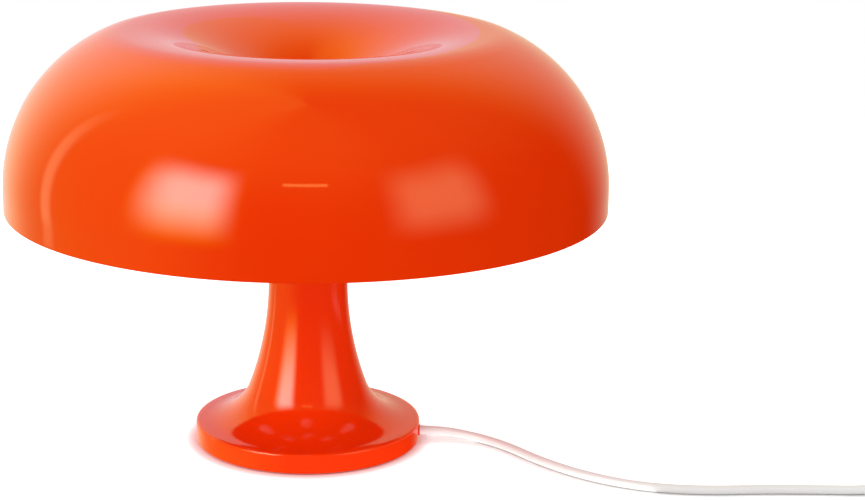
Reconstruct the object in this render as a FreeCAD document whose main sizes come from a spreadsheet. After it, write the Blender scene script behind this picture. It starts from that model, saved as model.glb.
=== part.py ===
import FreeCAD, Part
import math
import os
import re

import Sketcher

os.makedirs("parts", exist_ok=True)
doc = FreeCAD.newDocument("mushroom_table_lamp")

# Driving sizes in millimetres and degrees. z = 0 is the surface that the lamp stands on, the lamp's own
# axis is Z, and the front of the lamp looks along -Y.
SIZES = {
    # shade: one moulding, a band at the rim, a shoulder, a rolled crest and a well in the middle
    "lamp_height": 225,
    "shade_radius": 160,
    "shade_wall": 3,
    "band_height": 11.52,
    "shoulder_radius": 86,
    "shoulder_angle": 65.8,
    "crest_radius": 30,
    "well_radius": 19.5,
    "bell_radius": 30,
    "bell_angle": 55,
    "well_floor": 3,
    "spigot_radius": 10,
    "spigot_length": 12,
    "spigot_clearance": 0.08,
    "washer_thickness": 1,
    # stem and foot: one moulding, a trumpet that runs out into a flat disc
    "foot_radius": 61,
    "foot_rim_top": 11.5,
    "foot_rim_bottom": 0.8,
    "foot_top_slope": 6,
    "body_wall": 3,
    "flare_radius": 29.5,
    "stem_curve_radius": 172,
    "stem_curve_angle": 20,
    "stem_radius": 21.3,
    "stem_top": 134,
    # cover, ballast and rubber ring under the foot
    "cover_bottom": 1.5,
    "cover_thickness": 1.1,
    "cover_clearance": 0.15,
    "rebate_depth": 1.4,
    "ring_width": 5,
    "ballast_thickness": 4.6,
    "ballast_bore": 30,
    "ballast_clearance": 1.6,
    "cord_slot": 22,
    "boss_circle": 46,
    "boss_radius": 3.5,
    "boss_clearance": 0.5,
    "boss_count": 3,
    "cover_screw_radius": 1.5,
    "cover_screw_depth": 6,
    "screw_head_radius": 2.8,
    "screw_head_height": 1.2,
    # carrier on the stem's top, with one upright tab for each lampholder
    "plug_depth": 12,
    "plug_clearance": 0.1,
    "flange_thickness": 3,
    "post_radius": 12.6,
    "post_height": 13,
    "arm_width": 14,
    "tab_face": 33,
    "tab_thickness": 3,
    "tab_above_axis": 11,
    "lead_circle": 15.2,
    "carrier_screw_drop": 6,
    "carrier_screw_length": 8,
    # lampholders and bulbs, lying level and pointing outwards
    "bulb_count": 4,
    "bulb_axis_height": 165,
    "nipple_radius": 5,
    "nipple_bore": 3.4,
    "nipple_end": 0.6,
    "nut_thickness": 3,
    "nut_radius": 8.6,
    "holder_radius": 13,
    "holder_length": 33.5,
    "holder_back": 8,
    "holder_bore": 8.3,
    "shell_start": 5,
    "shell_length": 20,
    "cap_radius": 7,
    "cap_clearance": 0.1,
    "cap_wall": 0.4,
    "cap_length": 20,
    "cap_start": 6,
    "tip_length": 1,
    "tip_radius": 2,
    "insulator_length": 2,
    "contact_gap": 0.1,
    "contact_radius": 2.2,
    "glass_overlap": 7,
    "glass_wall": 0.7,
    "glass_neck": 8,
    "globe_radius": 22.5,
    "globe_centre": 59,
    "mount_radius": 1.5,
    "mount_length": 24,
    # supply cord, its bush, clamp and terminals inside the foot
    "cord_radius": 2.4,
    "cord_axis_height": 5.6,
    "cord_side": -3,
    "cord_inner_end": 30,
    "bush_wall": 0.6,
    "bush_proud": 0.4,
    "clamp_start": 34,
    "clamp_length": 8,
    "clamp_width": 18,
    "clamp_cover": 1.4,
    "clamp_screw_radius": 1.25,
    "clamp_screw_side": 6,
    "clamp_screw_depth": 4,
    "block_length": 20,
    "block_width": 22,
    "block_height": 12,
    "block_screw_radius": 1.6,
    "block_screw_height": 3,
    "block_screw_place": 6,
    "core_radius": 0.9,
    "core_side": 1.4,
    "lead_radius": 1.5,
    "lead_clearance": 0.4,
    # switch on the cord
    "switch_x": 340,
    "switch_y": -75,
    "switch_length": 56,
    "switch_width": 27,
    "switch_split": 4.5,
    "switch_height": 14,
    "switch_corner": 7,
    "switch_wall": 1.8,
    "switch_entry": 4,
    "window_length": 22.4,
    "window_width": 10.8,
    "rocker_clearance": 0.4,
    "rocker_rise": 2.6,
    "rocker_dish": 1.6,
    "rocker_drop": 3.4,
    "rocker_tilt": 7,
    "pin_radius": 1.2,
    "pin_clearance": 0.06,
    "pin_drop": 3.4,
    "ear_thickness": 1.8,
    "ear_length": 6,
    "switch_boss_radius": 3,
    "switch_boss_x": 19,
    "switch_boss_y": 8,
    "switch_screw_radius": 1.1,
    "switch_head_radius": 2.1,
    "switch_head_height": 1.3,
    "contact_length": 7,
    "contact_width": 4,
    "contact_height": 3,
    "contact_place": 8,
    # coil of cord and its tie
    "coil_x": 367.8,
    "coil_y": -18.5,
    "coil_inner": 18.9,
    "coil_outer": 35.8,
    "coil_height": 13.2,
    "cord_room": 0.1,
    "tie_width": 9,
    "tie_thickness": 0.8,
    # flat two-pin plug
    "plug_x": 394.74,
    "plug_y": 35.4,
    "plug_heading": 105,
    "plug_neck_length": 20,
    "plug_neck_rear": 3.4,
    "plug_neck_front": 4.6,
    "plug_body_length": 26,
    "plug_rear_width": 14,
    "plug_width": 35.3,
    "plug_thickness": 13.7,
    "plug_edge": 2.5,
    "pin_length": 19,
    "pin_spacing": 18.6,
    "plug_pin_radius": 2,
    "sleeve_length": 10,
    "sleeve_wall": 0.5,
}

# Places that follow from the driving sizes.
PLACES = {
    # shade
    "shoulder_z": "lamp_height - crest_radius - (shoulder_radius - crest_radius) * sin(shoulder_angle)",
    "rim_height": "shoulder_z - band_height",
    "shoulder_centre": "shade_radius - shoulder_radius",
    "crest_centre": "shoulder_centre + (shoulder_radius - crest_radius) * cos(shoulder_angle)",
    "bell_centre": "well_radius + bell_radius",
    "bowl_radius": "bell_radius + (crest_centre - bell_centre) / cos(bell_angle)",
    "bowl_z": "lamp_height - bowl_radius",
    "bell_z": "bowl_z + (bowl_radius - bell_radius) * sin(bell_angle)",
    # foot and stem
    "turn_cos": "cos(stem_curve_angle) - cos(90 - foot_top_slope)",
    "turn_sin": "sin(90 - foot_top_slope) - sin(stem_curve_angle)",
    "join_radius": "stem_radius + stem_curve_radius * (1 - cos(stem_curve_angle))",
    "flare_end": "join_radius + flare_radius * turn_cos",
    "flare_end_z": "foot_rim_top + (foot_radius - flare_end) * tan(foot_top_slope)",
    "join_z": "flare_end_z + flare_radius * turn_sin",
    "straight_z": "join_z + stem_curve_radius * sin(stem_curve_angle)",
    "stem_bore": "stem_radius - body_wall",
    "rim_inner": "foot_radius - body_wall",
    "cover_top": "cover_bottom + cover_thickness",
    "rebate_radius": "rim_inner + rebate_depth",
    "cover_radius": "rebate_radius - cover_clearance",
    "flare_middle": "join_radius + flare_radius * cos(stem_curve_angle)",
    "flare_middle_z": "join_z + flare_radius * sin(stem_curve_angle)",
    "boss_reach": "sqrt((flare_radius + body_wall)^2 - (flare_middle - boss_circle)^2)",
    "boss_top": "flare_middle_z - boss_reach + body_wall / 3",
    # carrier
    "carrier_seat": "stem_top + flange_thickness",
    "post_top": "carrier_seat + post_height",
    "floor_bottom": "post_top + washer_thickness",
    "post_bore": "spigot_radius + spigot_clearance",
    "lead_hole": "lead_radius + lead_clearance",
    # distances along a lampholder's own axis
    "tab_back": "tab_face - tab_thickness",
    "nut_back": "tab_back - nut_thickness",
    "holder_front": "tab_face + holder_length",
    "holder_floor": "tab_face + holder_back",
    "lead_entry": "holder_floor + 4 * lead_radius",
    "shell_back": "holder_floor + shell_start",
    "cap_back": "holder_floor + cap_start",
    "insulator_back": "cap_back - insulator_length",
    "tip_back": "insulator_back - tip_length",
    "cap_front": "cap_back + cap_length",
    "globe_x": "holder_floor + globe_centre",
    # cord and switch
    "bush_radius": "cord_radius + bush_wall",
    "bush_face": "foot_radius + bush_proud",
    "rocker_pin_z": "switch_height - pin_drop",
}


def tied(text):
    """The expression with each name turned into its cell, and each place into its own expression."""

    def spelled(match):
        word = match[0]
        if word in PLACES:
            return "(" + tied(PLACES[word]) + ")"
        return "Sheet." + word if word in SIZES else word

    return re.sub(r"[a-z]\w*", spelled, str(text))


def size(text):
    """The number that an expression gives now."""
    value = sheet.evalExpression(tied(text))
    return float(getattr(value, "Value", value))


def bind(thing, **properties):
    """Ties properties of an object to expressions; a double underscore stands for a dot."""
    for name, text in properties.items():
        thing.setExpression(name.replace("__", "."), tied(text))
    return thing


sheet = doc.addObject("Spreadsheet::Sheet", "Sheet")
for row, (alias, number) in enumerate(SIZES.items(), 1):
    sheet.set(f"A{row}", alias)
    sheet.set(f"B{row}", str(number))
    sheet.setAlias(f"B{row}", alias)
doc.recompute()

nodes = {}


def node(name, thing):
    """Keeps an object as a named piece of the lamp."""
    thing.Label = name
    nodes[name] = thing
    return thing


# ---------------------------------------------------------------- sketches and features


def origin_part(body, role):
    return next(item for item in body.Origin.OriginFeatures if item.Role == role)


def new_sketch(body, plane, offset=None):
    sketch = body.newObject("Sketcher::SketchObject", "Sketch")
    sketch.AttachmentSupport = [(origin_part(body, plane), "")]
    sketch.MapMode = "FlatFace"
    if offset is not None:
        bind(sketch, AttachmentOffset__Base__z=offset)
    return sketch


def fix_point(sketch, edge, end, corner):
    """Holds one end of an edge, or a circle's centre, at two tied distances from the sketch's origin."""
    for kind, text in zip(("DistanceX", "DistanceY"), corner):
        held = sketch.addConstraint(Sketcher.Constraint(kind, -1, 1, edge, end, size(text)))
        sketch.setExpression(f"Constraints[{held}]", tied(text))


def arc_between(start, end, radius, left):
    """An arc under half a turn whose centre lies left or right of the way from start to end."""
    chord = end - start
    half = chord.Length / 2
    rise = math.sqrt(max(radius * radius - half * half, 0))
    aside = FreeCAD.Vector(-chord.y, chord.x, 0).normalize() * (rise if left else -rise)
    centre = start + chord / 2 + aside
    first, last = (start, end) if left else (end, start)
    angles = [math.atan2(point.y - centre.y, point.x - centre.x) for point in (first, last)]
    if angles[1] < angles[0]:
        angles[1] += 2 * math.pi
    circle = Part.Circle(centre, FreeCAD.Vector(0, 0, 1), radius)
    return Part.ArcOfCircle(circle, *angles)


def outline(sketch, corners, arcs=None):
    """A closed outline. corners are pairs of expressions. arcs gives, for the edge that leaves a corner,
    its radius and the side, left or right, on which its centre lies."""
    arcs = arcs or {}
    points = [FreeCAD.Vector(size(across), size(up), 0) for across, up in corners]
    ends = {}
    for number, start in enumerate(points):
        end = points[(number + 1) % len(points)]
        if number in arcs:
            radius, side = arcs[number]
            sketch.addGeometry(arc_between(start, end, size(radius), side == "left"), False)
            ends[number] = (1, 2) if side == "left" else (2, 1)
        else:
            sketch.addGeometry(Part.LineSegment(start, end), False)
            ends[number] = (1, 2)
    for number in ends:
        after = (number + 1) % len(points)
        sketch.addConstraint(Sketcher.Constraint("Coincident", number, ends[number][1], after, ends[after][0]))
    for number, corner in enumerate(corners):
        fix_point(sketch, number, ends[number][0], corner)
    for number, (radius, _) in arcs.items():
        held = sketch.addConstraint(Sketcher.Constraint("Radius", number, size(radius)))
        sketch.setExpression(f"Constraints[{held}]", tied(radius))


def circles(sketch, radius, centres):
    for number, centre in enumerate(centres):
        place = FreeCAD.Vector(size(centre[0]), size(centre[1]), 0)
        sketch.addGeometry(Part.Circle(place, FreeCAD.Vector(0, 0, 1), size(radius)), False)
        fix_point(sketch, number, 3, centre)
        held = sketch.addConstraint(Sketcher.Constraint("Radius", number, size(radius)))
        sketch.setExpression(f"Constraints[{held}]", tied(radius))


def box_corners(left, right, low, high):
    return [(left, low), (right, low), (right, high), (left, high)]


def new_body(name):
    return node(name, doc.addObject("PartDesign::Body", "Body"))


def turned(name, corners, arcs=None, axis="V_Axis"):
    """A body turned about the lamp's axis, or about its own X with axis H_Axis."""
    body = new_body(name)
    sketch = new_sketch(body, "XZ_Plane")
    outline(sketch, corners, arcs)
    solid = body.newObject("PartDesign::Revolution", "Turned")
    solid.Profile = sketch
    solid.ReferenceAxis = (sketch, [axis])
    return body


def pad(body, plane, corners, length, offset=None, both_ways=False, arcs=None):
    sketch = new_sketch(body, plane, offset)
    outline(sketch, corners, arcs)
    solid = body.newObject("PartDesign::Pad", "Pad")
    solid.Profile = sketch
    solid.Midplane = both_ways
    return bind(solid, Length=length)


def pad_circles(body, plane, radius, centres, length, offset=None):
    sketch = new_sketch(body, plane, offset)
    circles(sketch, radius, centres)
    solid = body.newObject("PartDesign::Pad", "Pad")
    solid.Profile = sketch
    return bind(solid, Length=length)


def pocket(body, sketch, length=None, reverse=False):
    """A cut along the sketch's normal, through everything both ways when no length is given."""
    before = cut_volume(body)
    cut = body.newObject("PartDesign::Pocket", "Pocket")
    cut.Profile = sketch
    cut.Reversed = reverse
    if length is None:
        cut.Type = "ThroughAll"
        cut.Midplane = True
    else:
        bind(cut, Length=length)
    if cut_volume(body) >= before:
        raise ValueError(f"a pocket in {body.Label} cuts nothing")
    return cut


def cut_volume(body):
    doc.recompute()
    return body.Shape.Volume


def pocket_circles(body, plane, radius, centres, length=None, reverse=False, offset=None):
    sketch = new_sketch(body, plane, offset)
    circles(sketch, radius, centres)
    return pocket(body, sketch, length, reverse)


def pocket_box(body, plane, corners, length=None, reverse=False, offset=None):
    sketch = new_sketch(body, plane, offset)
    outline(sketch, corners)
    return pocket(body, sketch, length, reverse)


def repeated(body, features, count):
    """Repeats features evenly round the lamp's axis."""
    doc.recompute()
    pattern = body.newObject("PartDesign::PolarPattern", "Round")
    pattern.Originals = features
    pattern.Axis = (origin_part(body, "Z_Axis"), [""])
    pattern.Angle = 360
    bind(pattern, Occurrences=count)
    body.Tip = pattern
    return pattern


def around(text_radius, angle):
    """A place on a circle about the lamp's axis, as two expressions."""
    return f"({text_radius}) * cos({angle})", f"({text_radius}) * sin({angle})"


# ---------------------------------------------------------------- Part primitives


def cylinder(radius, height, low="0", across="0", along="0"):
    rod = doc.addObject("Part::Cylinder", "Rod")
    bind(rod, Radius=radius, Height=height)
    return bind(rod, Placement__Base__x=across, Placement__Base__y=along, Placement__Base__z=low)


def lying_cylinder(radius, length, start, along, height):
    """A rod along +X from start."""
    rod = doc.addObject("Part::Cylinder", "Rod")
    rod.Placement = FreeCAD.Placement(FreeCAD.Vector(), FreeCAD.Rotation(FreeCAD.Vector(0, 1, 0), 90))
    bind(rod, Radius=radius, Height=length)
    return bind(rod, Placement__Base__x=start, Placement__Base__y=along, Placement__Base__z=height)


def block(start, length, side, width, low, height):
    brick = doc.addObject("Part::Box", "Block")
    bind(brick, Length=length, Width=width, Height=height)
    return bind(brick, Placement__Base__x=start, Placement__Base__y=side, Placement__Base__z=low)


def cut(base, tool):
    result = doc.addObject("Part::Cut", "Cut")
    result.Base = base
    result.Tool = tool
    return result


def fused(pieces):
    result = doc.addObject("Part::MultiFuse", "Fused")
    result.Shapes = pieces
    return result


def grouped(name, pieces):
    """Several equal pieces, such as screws, kept as one node of separate solids."""
    group = doc.addObject("Part::Compound", "Group")
    group.Links = pieces
    return node(name, group)


def screw(radius, length, head_radius, head_height, seat, across, along):
    """A pan-head screw driven upwards; its head hangs under the seat."""
    shank = cylinder(radius, length, seat, across, along)
    head = cylinder(head_radius, head_height, f"({seat}) - ({head_height})", across, along)
    return fused([head, shank])


# ---------------------------------------------------------------- shade


def make_shade():
    def section(inset):
        """The outer skin from the rim over the crest and down the well, or the skin inset by the wall."""
        wall = "shade_wall" if inset else "0"
        return [
            (f"shade_radius - {wall}", "rim_height"),
            (f"shade_radius - {wall}", "shoulder_z"),
            (
                f"shoulder_centre + (shoulder_radius - {wall}) * cos(shoulder_angle)",
                f"shoulder_z + (shoulder_radius - {wall}) * sin(shoulder_angle)",
            ),
            ("crest_centre", f"lamp_height - {wall}"),
            (
                f"crest_centre - (bowl_radius - {wall}) * cos(bell_angle)",
                f"bowl_z + (bowl_radius - {wall}) * sin(bell_angle)",
            ),
            (f"well_radius + {wall}", "bell_z"),
        ]

    outside = section(False)
    inside = section(True)
    hub = [
        ("well_radius", "floor_bottom + well_floor"),
        ("0", "floor_bottom + well_floor"),
        ("0", "post_top - spigot_length"),
        ("spigot_radius", "post_top - spigot_length"),
        ("spigot_radius", "floor_bottom"),
        ("well_radius + shade_wall", "floor_bottom"),
    ]
    radii = ["shoulder_radius", "crest_radius", "bowl_radius", "bell_radius"]
    inner_first = len(outside) + len(hub)
    arcs = {1 + number: (radius, "left") for number, radius in enumerate(radii)}
    for number, radius in enumerate(reversed(radii)):
        arcs[inner_first + number] = (f"{radius} - shade_wall", "right")
    turned("shade", outside + hub + inside[::-1], arcs)

    washer = cut(
        cylinder("post_radius - 0.3", "washer_thickness", "post_top"),
        cylinder("post_bore", "washer_thickness", "post_top"),
    )
    node("shade_washer", washer)


# ---------------------------------------------------------------- stem, foot and what the foot holds


def flare_point(radius_text, angle):
    """A point on the flare, on its outer skin or one wall further from its centre."""
    return (
        f"join_radius + flare_radius * cos(stem_curve_angle) - ({radius_text}) * cos({angle})",
        f"join_z + flare_radius * sin(stem_curve_angle) - ({radius_text}) * sin({angle})",
    )


def stem_point(radius_text, angle):
    return (
        f"stem_radius + stem_curve_radius - ({radius_text}) * cos({angle})",
        f"straight_z - ({radius_text}) * sin({angle})",
    )


def make_stem_foot():
    flat = "90 - foot_top_slope"
    inner_flare = flare_point("flare_radius + body_wall", flat)
    corners = [
        ("foot_radius", "foot_rim_bottom"),
        ("foot_radius", "foot_rim_top"),
        flare_point("flare_radius", flat),
        stem_point("stem_curve_radius", "stem_curve_angle"),
        ("stem_radius", "straight_z"),
        ("stem_radius", "stem_top"),
        ("stem_bore", "stem_top"),
        ("stem_bore", "straight_z"),
        stem_point("stem_curve_radius + body_wall", "stem_curve_angle"),
        inner_flare,
        ("rim_inner", f"{inner_flare[1]} - (rim_inner - ({inner_flare[0]})) * tan(foot_top_slope)"),
        ("rim_inner", "cover_top"),
        ("rebate_radius", "cover_top"),
        ("rebate_radius", "foot_rim_bottom"),
    ]
    arcs = {
        2: ("flare_radius", "right"),
        3: ("stem_curve_radius", "right"),
        7: ("stem_curve_radius + body_wall", "left"),
        8: ("flare_radius + body_wall", "left"),
    }
    body = turned("stem_foot", corners, arcs)
    boss = pad_circles(
        body,
        "XY_Plane",
        "boss_radius",
        [around("boss_circle", "60")],
        "boss_top - cover_top",
        offset="cover_top",
    )
    repeated(body, [boss], "boss_count")
    boss_holes = [around("boss_circle", f"60 + {120 * number}") for number in range(3)]
    pocket_circles(
        body,
        "XY_Plane",
        "cover_screw_radius",
        boss_holes,
        "cover_screw_depth",
        reverse=True,
        offset="cover_top",
    )
    pocket_circles(
        body, "YZ_Plane", "bush_radius", [("cord_side", "cord_axis_height")], "foot_radius + 1", reverse=True
    )
    pocket_circles(body, "YZ_Plane", "cover_screw_radius", [("0", "stem_top - carrier_screw_drop")])


def make_base():
    cover = new_body("base_cover")
    pad_circles(cover, "XY_Plane", "cover_radius", [("0", "0")], "cover_thickness", offset="cover_bottom")
    holes = [around("boss_circle", f"60 + {120 * number}") for number in range(3)] + [("0", "0")]
    pocket_circles(cover, "XY_Plane", "cover_screw_radius", holes)
    clamp_middle = "clamp_start + clamp_length / 2"
    clamp_holes = [(clamp_middle, f"cord_side {sign} clamp_screw_side") for sign in "+-"]
    pocket_circles(cover, "XY_Plane", "clamp_screw_radius", clamp_holes)

    ring = cut(
        cylinder("cover_radius - 1", "cover_bottom", "0"),
        cylinder("cover_radius - 1 - ring_width", "cover_bottom", "0"),
    )
    node("foot_ring", ring)

    ballast = new_body("ballast")
    pad_circles(
        ballast, "XY_Plane", "rim_inner - ballast_clearance", [("0", "0")], "ballast_thickness", "cover_top"
    )
    pocket_circles(ballast, "XY_Plane", "ballast_bore", [("0", "0")])
    boss_holes = [around("boss_circle", f"60 + {120 * number}") for number in range(3)]
    pocket_circles(ballast, "XY_Plane", "boss_radius + boss_clearance", boss_holes)
    slot = box_corners("0", "foot_radius", "cord_side - cord_slot / 2", "cord_side + cord_slot / 2")
    pocket_box(ballast, "XY_Plane", slot)

    seat = "cover_bottom"
    cover_screws = [
        screw(
            "cover_screw_radius",
            "cover_thickness + cover_screw_depth",
            "screw_head_radius",
            "screw_head_height",
            seat,
            *place,
        )
        for place in holes
    ]
    grouped("cover_screws", cover_screws)
    clamp_screws = [
        screw(
            "clamp_screw_radius",
            "cover_thickness + clamp_screw_depth",
            "screw_head_radius - 0.4",
            "screw_head_height",
            seat,
            *place,
        )
        for place in clamp_holes
    ]
    grouped("clamp_screws", clamp_screws)


def make_supply():
    clamp = new_body("cord_clamp")
    sides = box_corners(
        "clamp_start",
        "clamp_start + clamp_length",
        "cord_side - clamp_width / 2",
        "cord_side + clamp_width / 2",
    )
    clamp_height = "cord_axis_height + cord_radius + clamp_cover - cover_top"
    pad(clamp, "XY_Plane", sides, clamp_height, offset="cover_top")
    pocket_circles(clamp, "YZ_Plane", "cord_radius", [("cord_side", "cord_axis_height")])
    clamp_middle = "clamp_start + clamp_length / 2"
    screw_places = [(clamp_middle, f"cord_side {sign} clamp_screw_side") for sign in "+-"]
    pocket_circles(
        clamp,
        "XY_Plane",
        "clamp_screw_radius",
        screw_places,
        "clamp_screw_depth",
        reverse=True,
        offset="cover_top",
    )

    bush_length = "bush_face - rim_inner"
    bush = cut(
        lying_cylinder("bush_radius", bush_length, "rim_inner", "cord_side", "cord_axis_height"),
        lying_cylinder("cord_radius", bush_length, "rim_inner", "cord_side", "cord_axis_height"),
    )
    node("cord_bush", bush)
    inner_length = "bush_face - cord_inner_end"
    inner = lying_cylinder("cord_radius", inner_length, "cord_inner_end", "cord_side", "cord_axis_height")
    node("cord_inside", inner)

    block_body = new_body("terminal_block")
    sides = box_corners("-block_length / 2", "block_length / 2", "-block_width / 2", "block_width / 2")
    pad(block_body, "XY_Plane", sides, "block_height", offset="cover_top")
    screw_wells = [
        (f"{sign}block_screw_place", f"cord_side {other} core_side * 2") for sign in ("", "-") for other in "+-"
    ]
    pocket_circles(
        block_body,
        "XY_Plane",
        "block_screw_radius",
        screw_wells,
        "block_screw_height",
        offset="cover_top + block_height",
    )
    pocket_circles(
        block_body,
        "XY_Plane",
        "cover_screw_radius",
        [("0", "0")],
        "cover_screw_depth",
        reverse=True,
        offset="cover_top",
    )
    low = "cover_top + block_height - block_screw_height"
    grouped(
        "terminal_screws",
        [cylinder("block_screw_radius", "block_screw_height - 0.6", low, *place) for place in screw_wells],
    )
    cores = [
        lying_cylinder(
            "core_radius",
            "cord_inner_end - block_length / 2",
            "block_length / 2",
            f"cord_side {sign} core_side",
            "cord_axis_height",
        )
        for sign in "+-"
    ]
    grouped("supply_cores", cores)


# ---------------------------------------------------------------- carrier, lampholders and bulbs


def make_carrier():
    spigot_floor = "post_top - spigot_length - 1"
    corners = [
        ("0", "stem_top - plug_depth"),
        ("stem_bore - plug_clearance", "stem_top - plug_depth"),
        ("stem_bore - plug_clearance", "stem_top"),
        ("stem_radius", "stem_top"),
        ("stem_radius", "carrier_seat"),
        ("post_radius", "carrier_seat"),
        ("post_radius", "post_top"),
        ("post_bore", "post_top"),
        ("post_bore", spigot_floor),
        ("0", spigot_floor),
    ]
    body = turned("lampholder_carrier", corners)
    bracket = [
        ("stem_radius - 1", "stem_top"),
        ("tab_face", "stem_top"),
        ("tab_face", "bulb_axis_height + tab_above_axis"),
        ("tab_back", "bulb_axis_height + tab_above_axis"),
        ("tab_back", "carrier_seat"),
        ("stem_radius - 1", "carrier_seat"),
    ]
    arm = pad(body, "XZ_Plane", bracket, "arm_width", both_ways=True)
    repeated(body, [arm], "bulb_count")
    nipple_hole = [("0", "bulb_axis_height")]
    pocket_circles(body, "YZ_Plane", "nipple_radius", nipple_hole)
    pocket_circles(body, "XZ_Plane", "nipple_radius", nipple_hole)
    lead_holes = [around("lead_circle", f"45 + {90 * number}") for number in range(4)]
    pocket_circles(body, "XY_Plane", "lead_hole", lead_holes)
    screw_height = "stem_top - carrier_screw_drop"
    pocket_circles(body, "YZ_Plane", "cover_screw_radius", [("0", screw_height)])

    screws = []
    for start in ("stem_radius - carrier_screw_length", "-stem_radius"):
        screws.append(lying_cylinder("cover_screw_radius", "carrier_screw_length", start, "0", screw_height))
    grouped("carrier_screws", screws)


def glass_section(radius, neck):
    """Where the straight neck line meets the globe, as an angle from the globe's rear pole."""
    reach = "(globe_x - cap_front)"
    return f"acos(({radius}) / sqrt({reach} ^ 2 + ({neck}) ^ 2)) + atan(({neck}) / {reach})"


def make_lamp(number):
    """One lampholder with its bulb, made along +X and turned to its own side of the stem."""
    before = set(nodes)
    body_corners = [
        ("nut_back - nipple_end", "nipple_bore"),
        ("nut_back - nipple_end", "nipple_radius"),
        ("tab_face", "nipple_radius"),
        ("tab_face", "holder_radius"),
        ("holder_front", "holder_radius"),
        ("holder_front", "holder_bore"),
        ("holder_floor", "holder_bore"),
        ("holder_floor", "nipple_bore"),
    ]
    holder = turned(f"lampholder_{number}", body_corners, axis="H_Axis")
    wall_depth = "holder_radius - holder_bore"
    pocket_circles(holder, "XY_Plane", "lead_hole", [("lead_entry", "0")], wall_depth, True, "-holder_radius")

    bore = "cap_radius + cap_clearance"
    shell_corners = box_corners("shell_back", "shell_back + shell_length", bore, "holder_bore")
    turned(f"screw_shell_{number}", shell_corners, axis="H_Axis")

    spring_corners = [
        ("holder_floor - 2", "0"),
        ("holder_floor - 2", "nipple_bore"),
        ("holder_floor", "nipple_bore"),
        ("holder_floor", "contact_radius"),
        ("tip_back - contact_gap", "contact_radius"),
        ("tip_back - contact_gap", "0"),
    ]
    turned(f"centre_contact_{number}", spring_corners, axis="H_Axis")

    cap_corners = box_corners("cap_back", "cap_front", "cap_radius - cap_wall", "cap_radius")
    turned(f"bulb_cap_{number}", cap_corners, axis="H_Axis")
    insulator_corners = [
        ("insulator_back", "0"),
        ("insulator_back", "tip_radius"),
        ("cap_back", "cap_radius - cap_wall"),
        ("cap_back + insulator_length", "cap_radius - cap_wall"),
        ("cap_back + insulator_length", "0"),
    ]
    turned(f"bulb_insulator_{number}", insulator_corners, axis="H_Axis")

    inner_neck = "glass_neck - glass_wall"
    inner_globe = "globe_radius - glass_wall"
    outer_angle = glass_section("globe_radius", "glass_neck")
    inner_angle = glass_section(inner_globe, inner_neck)
    seat = "cap_radius - cap_wall"
    glass_corners = [
        ("cap_front - glass_overlap", f"{seat} - glass_wall"),
        ("cap_front - glass_overlap", seat),
        ("cap_front", seat),
        ("cap_front", "glass_neck"),
        (f"globe_x - globe_radius * cos({outer_angle})", f"globe_radius * sin({outer_angle})"),
        ("globe_x", "globe_radius"),
        ("globe_x + globe_radius", "0"),
        ("globe_x + globe_radius - glass_wall", "0"),
        ("globe_x", inner_globe),
        (f"globe_x - ({inner_globe}) * cos({inner_angle})", f"({inner_globe}) * sin({inner_angle})"),
        ("cap_front + glass_wall", f"{seat} - glass_wall"),
    ]
    glass_arcs = {
        4: ("globe_radius", "right"),
        5: ("globe_radius", "right"),
        7: (inner_globe, "left"),
        8: (inner_globe, "left"),
    }
    turned(f"bulb_glass_{number}", glass_corners, glass_arcs, axis="H_Axis")
    mount_seat = "cap_front - glass_overlap"
    mount_corners = [
        (mount_seat, "0"),
        (mount_seat, f"{seat} - glass_wall"),
        (f"{mount_seat} + mount_radius", f"{seat} - glass_wall"),
        (f"{mount_seat} + mount_radius * 3", "mount_radius"),
        (f"{mount_seat} + mount_length", "mount_radius"),
        (f"{mount_seat} + mount_length", "0"),
    ]
    turned(f"bulb_mount_{number}", mount_corners, axis="H_Axis")

    heading = FreeCAD.Rotation(FreeCAD.Vector(0, 0, 1), 90 * (number - 1))
    for name in set(nodes) - before:
        nodes[name].Placement = FreeCAD.Placement(FreeCAD.Vector(), heading)
        bind(nodes[name], Placement__Base__z="bulb_axis_height")


def make_tips_and_nuts():
    """The bulbs' solder tips, and the hexagon nuts behind the tabs as one group."""
    tips = []
    nuts = []
    for number in range(4):
        turn = FreeCAD.Rotation(FreeCAD.Vector(0, 0, 1), 90 * number)
        lying = turn.multiply(FreeCAD.Rotation(FreeCAD.Vector(0, 1, 0), 90))
        ahead = ("1", "0", "-1", "0")[number]
        aside = ("0", "1", "0", "-1")[number]

        nut = doc.addObject("Part::Prism", "Nut")
        nut.Polygon = 6
        bind(nut, Circumradius="nut_radius", Height="nut_thickness")
        hole = doc.addObject("Part::Cylinder", "Hole")
        bind(hole, Radius="nipple_radius", Height="nut_thickness")
        for piece in (nut, hole):
            piece.Placement = FreeCAD.Placement(FreeCAD.Vector(), lying)
            bind(
                piece,
                Placement__Base__x=f"nut_back * {ahead}",
                Placement__Base__y=f"nut_back * {aside}",
                Placement__Base__z="bulb_axis_height",
            )
        nuts.append(cut(nut, hole))

        tip = doc.addObject("Part::Cone", "Tip")
        tip.Placement = FreeCAD.Placement(FreeCAD.Vector(), lying)
        bind(
            tip,
            Radius1="tip_radius / 2",
            Radius2="tip_radius",
            Height="tip_length",
            Placement__Base__x=f"tip_back * {ahead}",
            Placement__Base__y=f"tip_back * {aside}",
            Placement__Base__z="bulb_axis_height",
        )
        tips.append(tip)
    grouped("holder_nuts", nuts)
    for kind in ("screw_shell", "centre_contact"):
        grouped(f"{kind}s", [nodes.pop(f"{kind}_{number}") for number in range(1, 5)])
    for number, tip in enumerate(tips, 1):
        node(f"bulb_tip_{number}", tip)


# ---------------------------------------------------------------- cords


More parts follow.
